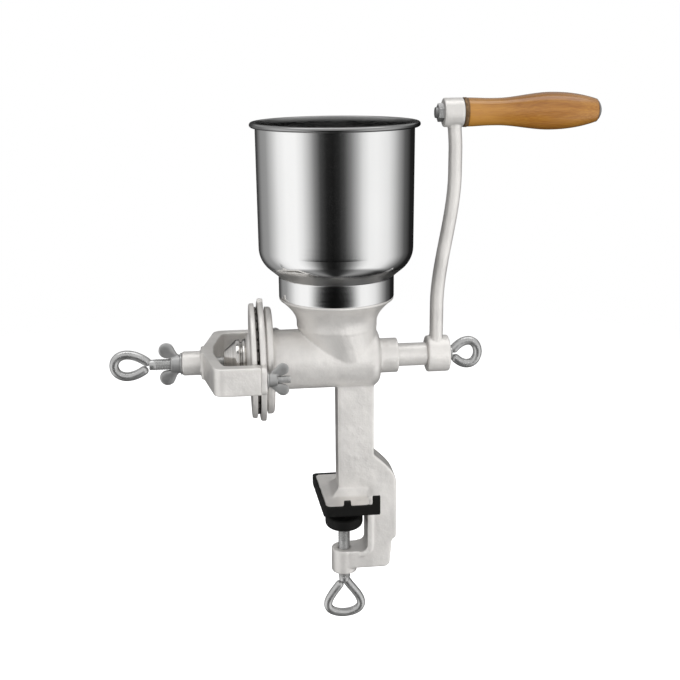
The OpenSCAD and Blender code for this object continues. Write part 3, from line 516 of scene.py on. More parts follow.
def browned_steel(name, colour):
    """Oil-browned steel, mottled between dark and light brown."""
    f = Finish(name, metallic=0.7)
    cloud = f.noise(260, 4)
    grain = f.noise(1700, 3)
    base = f.mix(f.step(cloud, 0.3, 0.7), shade(colour, 0.75), shade(colour, 1.4))
    rough = 0.34 + 0.18 * cloud
    return f.wear(base_color=base, roughness=rough, normal=f.relief(grain, 0.05 * MM))


def moulded_rubber(name, colour):
    """Black moulded rubber: fine skin grain, greyer where it is scuffed and on its edges."""
    f = Finish(name, specular_ior_level=0.25)
    skin = f.noise(1900, 3)
    scuff = f.noise(210, 5, (1, 2, 1))
    base = f.mix(f.step(scuff, 0.55, 0.8) * 0.5, shade(colour), shade(colour, 3.2))
    base = f.mix(f.edges(0.52, 0.6) * 0.4, base, shade(colour, 4.0))
    rough = 0.5 + 0.2 * f.step(scuff, 0.35, 0.7)
    return f.wear(base_color=base, roughness=rough, normal=f.relief(skin, 0.06 * MM))


def varnished_wood(name, light, dark, start, end):
    """Turned hardwood under varnish. The grain is noise drawn out along the grip, crossed
    by broad year rings: a sine of the distance from a slanting plane, bent by noise. The
    wood is paler near its start and darker on the end grain."""
    slant, bend, radians_per_metre = 0.55, 0.018, 900.0
    f = Finish(name, coat_weight=0.9, coat_roughness=0.1, specular_ior_level=0.4)
    along, depth, height = f.place()
    drift = f.noise(14, 3, (0.5, 1, 1))
    rings = f.maths("SINE", (height + depth * slant + drift * bend) * radians_per_metre)
    fibre = f.noise(1.0, 4, (55, 1500, 1500))
    pores = f.noise(1.0, 2, (120, 3200, 3200))
    cloud = f.noise(32, 3, (0.6, 1, 1))
    tone = f.step(rings, -1.0, 1.0) * 0.12 + f.step(fibre, 0.3, 0.7) * 0.3 + cloud * 0.75
    tone = tone - 0.35 * f.step(along, start + 45 * MM, start + 5 * MM)
    base = f.mix(f.step(tone, 0.15, 0.95), shade(light), shade(dark))
    tip = f.step(along, end - 1.6 * MM, end - 0.3 * MM) + f.step(along, start + 1.2 * MM, start)
    base = f.mix(tip * 0.75, base, shade(dark, 0.3))
    base = f.mix(f.step(pores, 0.6, 0.72) * 0.3, base, shade(dark, 0.5))
    rough = 0.34 + 0.12 * f.step(fibre, 0.3, 0.7)
    return f.wear(base_color=base, roughness=rough, normal=f.relief(fibre, 0.03 * MM))


# ---------------------------------------------------------------- settings


def colour_setting(name, description, value):
    """A colour that the user may change."""
    return FloatVectorProperty(
        name=name, description=description, default=value, size=3, min=0, max=1, subtype="COLOR"
    )


def size_setting(name, description, value):
    """A length that the user may change."""
    return FloatProperty(
        name=name, description=description, default=value, unit="LENGTH", precision=5, min=0
    )


class MillFinishes(bpy.types.PropertyGroup):
    """Colours of the mill's finishes."""

    tin: colour_setting("Tin", "Tinned castings", (0.74, 0.72, 0.695))
    steel: colour_setting("Hopper", "Polished stainless sheet", (0.93, 0.93, 0.925))
    zinc: colour_setting("Zinc", "Plated screws and nuts", (0.64, 0.64, 0.635))
    iron: colour_setting("Burr iron", "Hard iron of the burrs", (0.2, 0.19, 0.18))
    brown: colour_setting("Browned steel", "Ferrule of the grip", (0.2, 0.125, 0.065))
    rubber: colour_setting("Rubber", "Pad and foot", (0.0035, 0.0035, 0.0032))
    wood_light: colour_setting("Light wood", "Light part of the grain", (0.355, 0.165, 0.028))
    wood_dark: colour_setting("Dark wood", "Dark part of the grain", (0.215, 0.079, 0.01))


class MillSizes(bpy.types.PropertyGroup):
    """Sizes that only the looks use."""

    skin_cell: size_setting("Skin cell", "Cell of the main casting's skin", 0.0008)
    fine_cell: size_setting("Fine cell", "Cell of the smaller castings' skins", 0.00055)
    nut_cell: size_setting("Nut cell", "Cell of the wing nuts' skins", 0.00035)
    eye_rod: size_setting("Eye rod", "Diameter of the bent rods", 0.007)
    rim_bead: size_setting("Rim bead", "Radius of the hopper's rolled rim", 0.0019)
    sheet: size_setting("Sheet", "Thickness of the hopper's sheet", 0.001)
    sides: IntProperty(name="Sides", description="Facets of turned pieces", default=128, min=24)


# ---------------------------------------------------------------- pieces


class MILL_OT_castings(bpy.types.Operator):
    """Main casting, yoke and burr carrier with soft edges"""

    bl_idname = "mill.castings"
    bl_label = "Castings"

    def execute(self, context):
        sizes, paint = context.scene.mill_sizes, context.scene.mill_finishes
        burr_r, turned_up_to = 42.3 * MM, -76 * MM
        barrel = (X, SHAFT, 19.6 * MM, -64 * MM, 20 * MM)
        bearing = (X, SHAFT, 9.17 * MM, 19 * MM, 45.2 * MM)
        burr_seat = (X, SHAFT, burr_r, -68 * MM, -62.5 * MM)
        clamp_thread = (Z, CLAMP_AXIS, 4.97 * MM, -66 * MM, -40 * MM)
        flange_groove = (X, SHAFT, 38.5 * MM, -61.9 * MM, -60.6 * MM)
        bores = (barrel, bearing, burr_seat, clamp_thread)
        body = cast_copy(
            "mill_body", "mill_body_casting", sizes.skin_cell, 7, bores, [flange_groove]
        )
        dress(body, tinned_casting("tinned_body", paint.tin), "mill_body")
        screw_thread = (X, SHAFT, 4.57 * MM, -127 * MM, -99 * MM)
        yoke = cast_copy("yoke", "yoke_casting", sizes.fine_cell * 1.1, 8, [screw_thread])
        dress(yoke, tinned_casting("tinned_yoke", paint.tin, (0.3, 0, 0)), "yoke")
        shaft_hole = (X, SHAFT, 8.07 * MM, -84 * MM, -68 * MM)
        burr_seat = (X, SHAFT, burr_r, -71.2 * MM, -68 * MM)
        carrier = cast_copy(
            "burr_carrier", "burr_carrier_casting", sizes.fine_cell, 4, [shaft_hole, burr_seat]
        )
        tin = tinned_casting("tinned_carrier", shade(paint.tin, 1.05), (0, 0.4, 0), turned_up_to)
        dress(carrier, tin, "burr_carrier")
        return {"FINISHED"}


class MILL_OT_crank(bpy.types.Operator):
    """Crank arm: an oval blade between a hub and a boss, melted together"""

    bl_idname = "mill.crank"
    bl_label = "Crank arm"

    def execute(self, context):
        sizes, paint = context.scene.mill_sizes, context.scene.mill_finishes
        low, high = np.array(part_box("crank_arm"))
        hub_r, boss_r = SHAFT[2] - low[2], high[2] - GRIP_AXIS[2]
        hub_x0, hub_x1 = low[0], low[0] + 17.8 * MM
        boss_x0, boss_x1 = high[0] - 15.2 * MM, high[0]
        shaft_r, screw_r, bolt_r = 7.3 * MM, 3.6 * MM, 4.1 * MM
        recess_x = hub_x1 - 1.4 * MM
        hub = soft_corners(
            [
                (shaft_r, hub_x0),
                (hub_r, hub_x0),
                (hub_r, hub_x1),
                (screw_r, hub_x1),
                (screw_r, recess_x),
                (shaft_r, recess_x),
            ],
            np.array((0.4, 1.6, 1.6, 0.3, 0.1, 0.1)) * MM,
        )
        boss = soft_corners(
            [(bolt_r, boss_x0), (boss_r, boss_x0), (boss_r, boss_x1), (bolt_r, boss_x1)],
            np.array((0.3, 1.3, 1.3, 0.3)) * MM,
        )
        throw, overlap = GRIP_AXIS[2] - SHAFT[2], 5 * MM
        z = np.linspace(SHAFT[2] + hub_r - overlap, GRIP_AXIS[2] - boss_r + overlap, 160)
        rise = (z - SHAFT[2]) / throw
        # out over the middle of the arm, then back a little below the boss
        bend = 12.5 * MM * ease((rise - 0.21) / 0.55) - 1.5 * MM * ease((rise - 0.85) / 0.15)
        centres = np.stack((hub_x0 + 8 * MM + bend, 0 * z, z), 1)
        root_wide, narrowing, thick = 17 * MM, 0.22, 10 * MM
        share = (z - z[0]) / (z[-1] - z[0])
        blade = loft(
            centres,
            np.broadcast_to(Y, centres.shape),
            np.broadcast_to(X, centres.shape),
            root_wide / 2 * (1 - narrowing * share),
            np.full(len(z), thick / 2),
            sides=48,
            square=2.3,
        )
        ends = [cap(blade[0][row], centres[row]) for row in (0, -1)]
        arm = piece(
            "crank_arm_casting",
            [turned(hub, X, SHAFT), turned(boss, X, GRIP_AXIS), blade, *ends],
        )
        shaft_seat = (X, SHAFT, shaft_r - 0.04 * MM, hub_x0 - MM, recess_x - 0.2 * MM)
        screw_hole = (X, SHAFT, screw_r - 0.02 * MM, hub_x0, hub_x1 + MM)
        bolt_hole = (X, GRIP_AXIS, bolt_r - 0.03 * MM, boss_x0 - MM, boss_x1 + MM)
        melt(arm, sizes.fine_cell * 0.9, 8, (shaft_seat, screw_hole, bolt_hole))
        tin = tinned_casting("tinned_crank", shade(paint.tin, 1.03), (0, 0, 0.5))
        dress(arm, tin, "crank_arm")
        return {"FINISHED"}


class MILL_OT_worm(bpy.types.Operator):
    """Feed worm and shaft. The flight is a ribbon on a helix, thick at its root"""

    bl_idname = "mill.worm"
    bl_label = "Worm"

    def execute(self, context):
        sizes, paint = context.scene.mill_sizes, context.scene.mill_finishes
        low, high = np.array(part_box("auger"))
        start, end = low[0], high[0]
        hub_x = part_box("crank_arm")[0][0]
        ball_r, ball_seat = 4.3 * MM, start + 5 * MM
        carrier_r, core_x0 = 8 * MM, -53.5 * MM
        core_r, core_x1 = 10 * MM, 19.4 * MM
        bearing_r, bearing_x1 = 9.1 * MM, hub_x - 0.05 * MM
        arm_r, screw_r = 7.2 * MM, 3.6 * MM
        shaft = soft_corners(
            [
                (0, ball_seat),
                (ball_r, ball_seat),
                (ball_r, start),
                (carrier_r, start),
                (carrier_r, core_x0),
                (core_r, core_x0),
                (core_r, core_x1),
                (bearing_r, core_x1),
                (bearing_r, bearing_x1),
                (arm_r, bearing_x1),
                (arm_r, end),
                (screw_r, end),
                (screw_r, hub_x),
                (0, hub_x),
            ],
            np.array((0, 0.2, 0.4, 0.8, 1, 1, 1, 0.3, 0.5, 0.3, 0.5, 0.3, 0.2, 0)) * MM,
        )
        worm_r, root_r = high[2] - SHAFT[2], 7.6 * MM
        x0, x1, pitch = -50.25 * MM, 15.15 * MM, 24 * MM
        rim_thick, root_thick = 3.5 * MM, 6.5 * MM
        a = np.linspace(0, 2 * math.pi * (x1 - x0) / pitch, 300)
        side = np.linspace(-0.5, 0.5, 9)
        rim = np.stack((np.full(9, worm_r), side * rim_thick), 1)
        root = np.stack((np.full(9, root_r), -side * root_thick), 1)
        ring = np.concatenate((rim, root))
        spin = np.stack((0 * a, np.sin(a), np.cos(a)), 1)
        line = np.stack((x0 + (x1 - x0) * a / a[-1], 0 * a, 0 * a), 1) + SHAFT
        radius, place = ring[None, :, 0, None], ring[None, :, 1, None]
        flight = line[:, None] + place * X + radius * spin[:, None]
        caps = [cap(flight[row], flight[row].mean(0)) for row in (0, -1)]
        worm = piece("worm_shaft", [turned(shaft, X, SHAFT), (flight, False, True), *caps])
        melt(worm, sizes.fine_cell, 5)
        dress(worm, tinned_casting("tinned_worm", paint.tin, (0.2, 0.2, 0)), "auger")
        return {"FINISHED"}


class MILL_OT_hopper(bpy.types.Operator):
    """Spun hopper: collar, round shoulder, slightly flared wall and a rolled rim"""

    bl_idname = "mill.hopper"
    bl_label = "Hopper"

    def execute(self, context):
        sizes, paint = context.scene.mill_sizes, context.scene.mill_finishes
        low, high = np.array(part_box("hopper"))
        collar_z, rim_z = low[2], high[2]
        rim_r = (high[0] - low[0]) / 2
        bowl_z = collar_z + 17 * MM
        collar_r, low_r, top_r, bend = 44.5 * MM, 59.2 * MM, 59.6 * MM, 20 * MM
        sheet, bead, cone_angle = sizes.sheet, sizes.rim_bead, 40
        slope = math.radians(cone_angle)
        bend_r = low_r - bend
        cone_r = bend_r + bend * math.sin(slope)
        climb = math.tan(slope)
        bend_z = bowl_z + (cone_r - collar_r) * climb + bend * math.cos(slope)
        lift = sheet * (1 / math.cos(slope) - climb)
        flare = top_r - low_r
        edge, fold, bevel, neck, lip = 0.5 * MM, 0.3 * MM, 0.8 * MM, 0.6 * MM, 0.9 * MM
        outside = np.vstack(
            (
                arc(collar_r - edge, collar_z + edge, edge, -90, 0, 5),
                (collar_r, collar_z + 1.2 * MM),
                (collar_r, bowl_z - bevel),
                (collar_r, bowl_z - fold),
                (collar_r + fold, bowl_z + fold * climb),
                (collar_r + bevel, bowl_z + bevel * climb),
                arc(bend_r, bend_z, bend, cone_angle - 90, 0, 26),
                (low_r + 0.05 * flare, bend_z + 1.5 * MM),
                (low_r + 0.7 * flare, bend_z + 55 * MM),
                (top_r, rim_z - 4.2 * MM),
                arc(top_r + neck, rim_z - 3.9 * MM, neck, 180, 110, 5),
                arc(rim_r - bead, rim_z - bead, bead, -110, 140, 22),
            )
        )
        inside = np.vstack(
            (
                arc(top_r - sheet + lip, rim_z - lip - 0.05 * MM, lip, 100, 180, 6),
                (top_r - sheet, rim_z - 4 * MM),
                (low_r - sheet + flare / 2, bend_z + 40 * MM),
                arc(bend_r, bend_z, bend - sheet, 0, cone_angle - 90, 26),
                (collar_r - fold, bowl_z + lift + (sheet - fold) * climb),
                (collar_r - sheet, bowl_z + lift),
                (collar_r - sheet, bowl_z + lift - MM),
                (collar_r - sheet, collar_z),
            )
        )
        wall = np.vstack((outside, inside))
        hopper = piece("hopper_spun", [turned(wall, Z, HOPPER_AXIS, 2 * sizes.sides)])
        steel = spun_steel("spun_steel", paint.steel, bowl_z, bowl_z + 7 * MM, rim_z)
        dress(hopper, steel, "hopper")
        return {"FINISHED"}


EYE_FOOT = 2 * MM  # what an eye's rod shares with its shank


def eye_path(length, width, swell, rod, steps=140):
    """Centre line of a bent eye: out = len (1 + cos a) / 2 and across = w sin a cos(a/2)^k,
    from the screw's axis round and back until its rounded end touches its own start."""
    first, touch = math.radians(175), 0.62 * rod
    a = np.linspace(0, first, 701)
    swelling = np.sin(a) * np.cos(a / 2) ** swell
    w = (width - rod) / 2 / swelling.max()
    last = -a[2 * w * swelling > touch].max()
    a = np.linspace(first, last, steps)
    across = w * np.sin(a) * np.cos(a / 2) ** swell
    return (length - rod / 2 - EYE_FOOT) * (1 + np.cos(a)) / 2, across


def eye_rod(length, width, swell, rod, origin, out, across):
    """The bent rod of an eye screw. Its length counts from EYE_FOOT before its origin."""
    u, v = eye_path(length, width, swell, rod)
    path = origin + out * u[:, None] + across * v[:, None]
    return bent_rod(path, rod / 2, np.cross(out, across))


def shank(start, end, radius, along, through):
    """A plain round shank with softened ends."""
    outline = soft_corners([(0, start), (radius, start), (radius, end), (0, end)], 0.8 * MM)
    return turned(outline, along, through, 48)


class MILL_OT_eye_screws(bpy.types.Operator):
    """Adjusting, clamp and crank screws: a threaded shank and a rod bent to an eye"""

    bl_idname = "mill.eye_screws"
    bl_label = "Eye screws"

    def execute(self, context):
        sizes, paint = context.scene.mill_sizes, context.scene.mill_finishes
        zinc = plated_steel("zinc_screws", paint.zinc)
        rod = sizes.eye_rod

        low, high = np.array(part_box("adjusting_screw"))
        length, width = 33 * MM, 24.5 * MM
        start = low[0] + length - EYE_FOOT
        eye = eye_rod(length, width, 0.75, rod, SHAFT + X * start, -X, Z)
        screw = thread(start + 2.6 * MM, high[0], 4.5 * MM, 1.25 * MM, X, SHAFT)
        neck = shank(start - 0.5 * MM, start + 4 * MM, 4 * MM, X, SHAFT)
        obj = piece("adjusting_eye_screw", [eye, screw, neck])
        dress(obj, zinc, "adjusting_screw")

        low, high = np.array(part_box("clamp_screw"))
        length, width = 40 * MM, 35 * MM
        start, foot_z = low[2] + length - EYE_FOOT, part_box("foot_cap")[0][2] - MM
        eye = eye_rod(length, width, 2, rod, CLAMP_AXIS + Z * start, -Z, X)
        screw = thread(start - 2 * MM, foot_z - 1.5 * MM, 4.9 * MM, 1.5 * MM, Z, CLAMP_AXIS)
        neck = shank(start - 4 * MM, start + 0.5 * MM, 4.4 * MM, Z, CLAMP_AXIS)
        pivot = shank(foot_z - 2.5 * MM, high[2], 3.4 * MM, Z, CLAMP_AXIS)
        obj = piece("clamp_eye_screw", [eye, screw, neck, pivot])
        dress(obj, zinc, "clamp_screw")

        low, high = np.array(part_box("crank_eye_screw"))
        length, width = 26.5 * MM, 26 * MM
        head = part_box("crank_washer")[1][0] + 0.05 * MM
        eye = eye_rod(length, width, 0.55, rod, SHAFT + X * (head + EYE_FOOT), X, Z)
        screw = thread(low[0], head + MM, 3.5 * MM, MM, X, SHAFT, 28)
        collar = shank(head, head + EYE_FOOT, 5 * MM, X, SHAFT)
        obj = piece("crank_eye_screw_bent", [eye, screw, collar])
        dress(obj, zinc, "crank_eye_screw")

        low, high = np.array(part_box("yoke_bolts"))
        radius = (high[2] - low[2]) / 2
        studs = [
            thread(low[0], high[0], radius, MM, X, SHAFT + Y * y, 28)
            for y in (low[1] + radius, high[1] - radius)
        ]
        dress(piece("yoke_studs", studs), zinc, "yoke_bolts")
        return {"FINISHED"}


def wing_nut(name, seat, out, hub, wings, hole_r, cell):
    """A wing nut with its seat at seat and its wings towards out. The hub, given as
    (radius, length), is turned. Each wing is lofted from the hub to a round lobe, with
    rings that shrink to its tip, and the two together measure (span, reach, thickness)."""
    (hub_r, hub_len), (span, reach, thick) = hub, wings
    outline = soft_corners(
        [(hole_r, 0), (hub_r, 0), (hub_r * 0.8, hub_len), (hole_r, hub_len)],
        np.array((0.3, 0.5, 1.0, 0.4)) * MM,
    )
    lobe, root = span * 0.18, 2.6 * MM
    base = np.array((hub_len * 0.42, hub_r * 0.72))
    tip = np.array((reach - lobe, span / 2 - lobe))
    way = tip - base
    length = np.linalg.norm(way)
    way = way / length
    last = length + lobe * np.sin(np.linspace(0.06, math.pi / 2, 16))
    s = np.concatenate((np.linspace(0, length, 26), last))
    rise = np.clip(s / length, 0, 1)
    rounding = np.sqrt(np.clip(1 - (np.clip(s - length, 0, None) / lobe) ** 2, 0, 1))
    half_wide = (root + (lobe - root) * ease(rise)) * rounding
    half_thick = thick / 2 * (1.15 - 0.15 * rise) * rounding**0.45
    half_wide[-1] = half_thick[-1] = 0
    parts = [turned(outline, out, seat, 48)]
    for side in (-1, 1):
        direction = out * way[0] + side * Z * way[1]
        centres = seat + out * base[0] + side * Z * base[1] + direction * s[:, None]
        across = np.cross(direction, Y)
        wing = loft(
            centres,
            np.broadcast_to(across, centres.shape),
            np.broadcast_to(Y, centres.shape),
            half_wide,
            half_thick,
            sides=32,
            square=2.6,
        )
        parts += [wing, cap(wing[0][0], centres[0])]
    obj = piece(name, parts)
    melt(obj, cell, 5, [(out, seat, hole_r, -MM, hub_len + MM)])
    return obj


class MILL_OT_wing_nuts(bpy.types.Operator):
    """Lock nut of the adjusting screw and the two nuts of the yoke's studs"""

    bl_idname = "mill.wing_nuts"
    bl_label = "Wing nuts"

    def execute(self, context):
        sizes, paint = context.scene.mill_sizes, context.scene.mill_finishes
        cast = plated_steel("cast_nuts", shade(paint.zinc, 0.8), 0.16)
        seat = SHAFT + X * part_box("lock_wing_nut")[1][0]
        hub, wings = (7.5 * MM, 7.5 * MM), (34 * MM, 16.5 * MM, 4 * MM)
        nut = wing_nut("lock_wing_nut_cast", seat, -X, hub, wings, 4.62 * MM, sizes.nut_cell)
        dress(nut, cast, "lock_wing_nut")
        hub, wings = (5.5 * MM, 6.5 * MM), (25 * MM, 15 * MM, 3 * MM)
        for node in ("yoke_wing_nut_front", "yoke_wing_nut_back"):
            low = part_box(node)[0]
            seat = SHAFT + X * low[0] + Y * middle(node)[1]
            nut = wing_nut(node + "_cast", seat, X, hub, wings, 3.12 * MM, sizes.nut_cell)
            dress(nut, cast, node)
        return {"FINISHED"}


class MILL_OT_grip(bpy.types.Operator):
    """Turned wooden grip: a foot, a neck, a swell and a rounded taper to its tip"""

    bl_idname = "mill.grip"
    bl_label = "Grip"

    def execute(self, context):
        sizes, paint = context.scene.mill_sizes, context.scene.mill_finishes
        low, high = np.array(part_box("grip"))
        x0, length = low[0], high[0] - low[0]
        widest = (high[2] - low[2]) / 2
        end_r, neck_r, tip_r, bore_r = 10.7 * MM, 10.1 * MM, 8.75 * MM, 4.1 * MM
        neck_from, neck_to, crown, edge = 0.18, 0.22, 0.64, 0.8 * MM
        t = np.linspace(0, 1, 90)
        foot = end_r + (neck_r - end_r) * ease(t / neck_from)
        swell = neck_r + (widest - neck_r) * ease((t - neck_to) / (crown - neck_to))
        taper = np.clip((t - crown) / (1 - crown), 0, 1) ** 2.2
        r = np.where(t > neck_to, swell, foot) - (widest - tip_r) * taper
        outline = np.vstack(
            (
                arc(end_r - edge, x0 + edge, edge, -90, -18, 5),
                np.stack((r, x0 + edge + (length - 2 * edge) * t), 1),
                arc(tip_r - edge, x0 + length - edge, edge, 18, 90, 5),
                (bore_r, x0 + length),
                (bore_r, x0),
            )
        )
        grip = piece("grip_turned", [turned(outline, X, GRIP_AXIS, sizes.sides)])
        wood = varnished_wood("varnished_wood", paint.wood_light, paint.wood_dark, x0, x0 + length)
        dress(grip, wood, "grip")
        return {"FINISHED"}


class MILL_OT_clamp(bpy.types.Operator):
    """Rubber tray on the clamp's upper jaw"""

    bl_idname = "mill.clamp"
    bl_label = "Clamp rubber"

    def execute(self, context):
        sizes, paint = context.scene.mill_sizes, context.scene.mill_finishes
        pad = cast_copy("jaw_pad", "jaw_pad_moulded", sizes.fine_cell, 4)
        dress(pad, moulded_rubber("pad_rubber", paint.rubber), "jaw_pad")
        return {"FINISHED"}


class MILL_OT_small_parts(bpy.types.Operator):
    """Finishes of the solids that are shown as they are, with their edges broken"""

    bl_idname = "mill.small_parts"
    bl_label = "Small parts"

    def execute(self, context):
        paint = context.scene.mill_finishes
        zinc = plated_steel("zinc_small", paint.zinc, 0.05)
        brown = browned_steel("browned_steel", paint.brown)
        iron = ground_iron("burr_iron", paint.iron)
        rubber = moulded_rubber("cap_rubber", paint.rubber)
        dark = plated_steel("foot_steel", shade(paint.zinc, 0.5), 0.15)
        finishes = {
            "stationary_burr": iron,
            "rotating_burr": iron,
            "stationary_burr_screws": zinc,
            "rotating_burr_screws": zinc,
            "drive_pin": zinc,
            "thrust_ball": zinc,
            "yoke_washer_front": zinc,
            "yoke_washer_back": zinc,
            "lock_washer": zinc,
            "crank_washer": zinc,
            "grip_nut": zinc,
            "grip_ferrule": brown,
            "grip_bolt": dark,
            "clamp_foot": dark,
            "foot_cap": rubber,
        }
        for node, material in finishes.items():
            obj = NODES[node]
            obj.data.materials.clear()
            obj.data.materials.append(material)
            weld = obj.modifiers.new("weld", "WELD")
            weld.merge_threshold = SAME
            soft = obj.modifiers.new("soft", "BEVEL")
            soft.width, soft.segments = 0.25 * MM, 2
            soft.limit_method, soft.angle_limit = "ANGLE", math.radians(38)
            soft.harden_normals = True
        return {"FINISHED"}


# ---------------------------------------------------------------- stage


CAMERA_SIDE = 6.5  # degrees left of the front, for the camera and the ring of cards


class MILL_OT_stage(bpy.types.Operator):
    """Plain floor, soft light, world and camera"""

    bl_idname = "mill.stage"
    bl_label = "Stage"

    def execute(self, context):
        scene = context.scene
        scene.view_settings.view_transform = "Standard"
        self.floor()
        self.world(scene)
        self.lamps(scene)
        self.camera(scene)
        # the polished bowl doesn't mirror the crank, so its edge on that side stays dark
        crank = [bpy.data.objects[name] for name in ("crank_arm_casting", "grip_turned")]
        crank += [NODES[name] for name in ("grip_ferrule", "grip_bolt", "grip_nut")]
        for obj in crank:
            obj.visible_glossy = False
        return {"FINISHED"}

    def floor(self):
        """A round pale floor well below the mill, which fades out at its rim."""
        drop, fade_from, fade_to = 0.1, 0.7, 1.5
        r = np.array((0, 0.05, 0.3, 0.9, 1.6))
        a = np.linspace(0, 2 * math.pi, 64, endpoint=False)
        ring = np.stack((np.cos(a), np.sin(a), 0 * a), 1)
        grid = ring[:, None] * r[None, :, None] + Z * (SOLID_BOX[0][2] - drop)
        obj = piece("floor", [(grid, True, False)])
        web = Finish("pale_floor", roughness=0.9, base_color=grey(0.93), emission_strength=1.0)
        seen = web.node("ShaderNodeLightPath", out="Is Camera Ray")
        web.wear(emission_color=web.mix(seen, grey(0), grey(0.42)))
        place = web.node("ShaderNodeTexCoord", out="Object")
        far = web.node("ShaderNodeVectorMath", {"operation": "LENGTH"}, {0: place}, "Value")
        web.wear(alpha=web.step(far, fade_to, fade_from))
        obj.data.materials.append(web.owner)
        obj.visible_glossy = obj.visible_diffuse = False

    def world(self, scene):
        """White to the camera, soft light to dull surfaces, a studio to glossy ones."""
        scene.world = bpy.data.worlds.new("studio")
        web = Web(scene.world)
        x, y, z = web.place("Generated")
        rays = web.node("ShaderNodeLightPath").socket.node.outputs
        camera, shiny = Wire(web, rays["Is Camera Ray"]), Wire(web, rays["Is Glossy Ray"])
        colour = web.mix(shiny, self.soft_light(web, y, z), self.studio(web, x, y, z))
        colour = web.mix(camera, colour, grey(1))
        web.feed(web.tree.nodes["Background"].inputs["Color"], colour)

    def soft_light(self, web, y, z):
        """What dull surfaces receive: dark below, grey around, brighter behind, in front
        and above."""
        light = web.mix(web.step(z, -0.5, 0.1), grey(0.03), grey(0.24))
        light = web.mix(web.step(y, 0.2, 0.9), light, grey(0.45))
        light = web.mix(web.step(z, 0.2, 0.85), light, grey(1.35))
        return web.mix(web.step(y, -0.5, -0.98), light, grey(0.9))

    def studio(self, web, x, y, z):
        """What glossy surfaces mirror: a ring of upright cards, each with its angle in
        degrees from the camera's side and its brightness, with a dark card low in front,
        a lit wall above it, a dark table below and a lit tube overhead."""
        cards = [
            (-180, 0.03), (-152, 0.06), (-134, 0.27), (-117, 0.32), (-102, 0.58), (-89, 0.86),
            (-75, 0.98), (-58, 0.98), (-48, 0.82), (-38, 0.52), (-29, 0.22), (-21, 0.06),
            (-12, 0.014), (-3, 0.008), (5, 0.018), (13, 0.06), (22, 0.2), (31, 0.44), (40, 0.74),
            (50, 0.92), (62, 0.95), (72, 0.9), (82, 0.82), (92, 0.62), (104, 0.34), (119, 0.11),
            (139, 0.015), (165, 0.01),
        ]
        stops = [((angle + 180) / 360, grey(light)) for angle, light in cards]
        turn = web.maths("ARCTAN2", x, 0.0 - y) / (2 * math.pi) + (0.5 + CAMERA_SIDE / 360)
        turn = web.maths("FRACT", turn)
        ring = web.node("ShaderNodeValToRGB", {"stops": stops}, {0: turn})
        low_card_middle = 0.489
        aside = web.maths("ABSOLUTE", turn - low_card_middle)
        low_card = web.step(z, -0.2165, -0.2265) * web.step(z, -0.275, -0.25)
        low_card = low_card * web.step(aside, 0.155, 0.055)
        ring = web.mix(low_card * 0.9, ring, grey(0))
        mirrored = web.mix(web.step(z, 0.45, 0.9) * 0.75, ring, grey(0.1))
        wall = web.step(z, -0.03, 0.05) * web.step(y, 0.1, -0.4)
        wall = web.maths("MAXIMUM", wall, web.step(z, 0.25, 0.4) * 0.7)
        mirrored = web.mix(wall * web.step(z, 0.95, 0.75), mirrored, grey(0.66))
        table = web.mix(web.step(y, 0.2, -0.3) * 0.3, grey(0.02), ring)
        mirrored = web.mix(web.step(z, -0.68, -0.82), mirrored, table)
        tube = web.step(web.maths("ABSOLUTE", y), 0.32, 0.2) * web.step(z, 0.7, 0.85)
        return web.mix(tube, mirrored, grey(1.9))

    def lamps(self, scene):
        """Large soft lamps in front: the key low on the right, a weaker one on the left."""
        for name, energy, size, place in (
            ("key", 18.0, 0.7, (0.3, -1.27, 0.02)),
            ("fill", 0.6, 0.9, (-0.7, -1.1, 0.45)),
        ):
            lamp = bpy.data.lights.new(name, "AREA")
            lamp.energy, lamp.size = energy, size
            obj = bpy.data.objects.new(name, lamp)
            aim = Vector((0, 0, 0.13)) - Vector(place)
            obj.rotation_mode = "QUATERNION"
            obj.rotation_quaternion = aim.to_track_quat("-Z", "Y")
            obj.location = place
            obj.visible_glossy = False
            scene.collection.objects.link(obj)

    def camera(self, scene):
        """Looks at the mill from a little left and above, with the upright tilted."""
        aim, distance = Vector((-0.002, 0, 0.135)), 0.826
        side, rise, tilt = (math.radians(angle) for angle in (-CAMERA_SIDE, 15.8, -0.5))
        back = Vector(
            (math.sin(side) * math.cos(rise), -math.cos(side) * math.cos(rise), math.sin(rise))
        )
        right = Vector((math.cos(side), math.sin(side), 0))
        up = back.cross(right)
        turned_right = right * math.cos(tilt) + up * math.sin(tilt)
        turned_up = up * math.cos(tilt) - right * math.sin(tilt)
        lens = bpy.data.cameras.new("camera")
        lens.lens, lens.sensor_width, lens.clip_start = 55.6, 36, 0.01
        obj = bpy.data.objects.new("camera", lens)
        matrix = Matrix((turned_right, turned_up, back)).transposed().to_4x4()
        matrix.translation = aim + back * distance
        obj.matrix_world = matrix
        scene.collection.objects.link(obj)
        scene.camera = obj


PIECES = (
    MILL_OT_castings,
    MILL_OT_crank,
    MILL_OT_worm,
    MILL_OT_hopper,
    MILL_OT_eye_screws,
    MILL_OT_wing_nuts,
    MILL_OT_grip,
    MILL_OT_clamp,
    MILL_OT_small_parts,
    MILL_OT_stage,
)


class MILL_PT_panel(bpy.types.Panel):
    """Settings and pieces of the mill"""

    bl_idname = "MILL_PT_panel"
    bl_label = "Hand mill"
    bl_space_type = "VIEW_3D"
    bl_region_type = "UI"
    bl_category = "Hand mill"

    def draw(self, context):
        for group in (context.scene.mill_finishes, context.scene.mill_sizes):
            for key in group.__annotations__:
                self.layout.prop(group, key)
        for operator in PIECES:
            self.layout.operator(operator.bl_idname)


CLASSES = (MillFinishes, MillSizes, *PIECES, MILL_PT_panel)


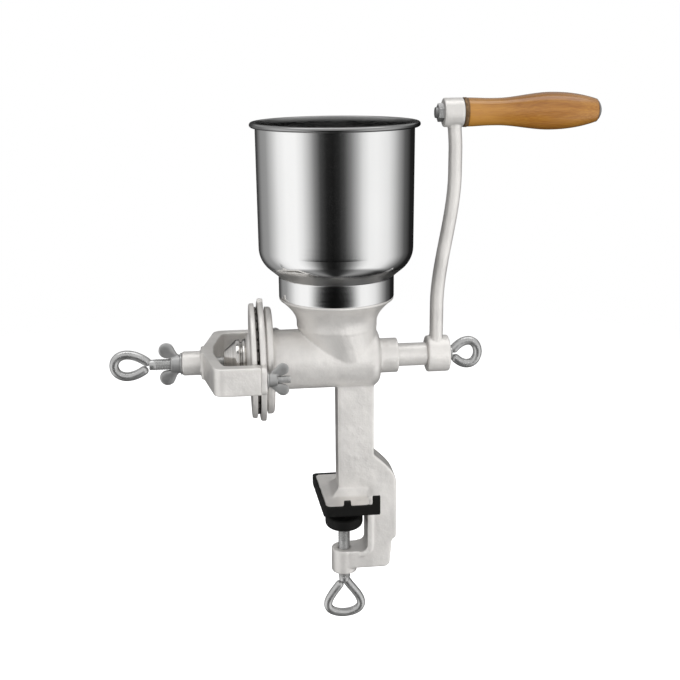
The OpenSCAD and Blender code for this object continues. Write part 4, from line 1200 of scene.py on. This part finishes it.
def register():
    for item in CLASSES:
        bpy.utils.register_class(item)
    bpy.types.Scene.mill_finishes = PointerProperty(type=MillFinishes)
    bpy.types.Scene.mill_sizes = PointerProperty(type=MillSizes)


def unregister():
    del bpy.types.Scene.mill_sizes
    del bpy.types.Scene.mill_finishes
    for item in reversed(CLASSES):
        bpy.utils.unregister_class(item)


def main():
    """Builds every piece in order."""
    register()
    for operator in PIECES:
        group, name = operator.bl_idname.split(".")
        getattr(getattr(bpy.ops, group), name)()


if __name__ == "__main__":
    main()
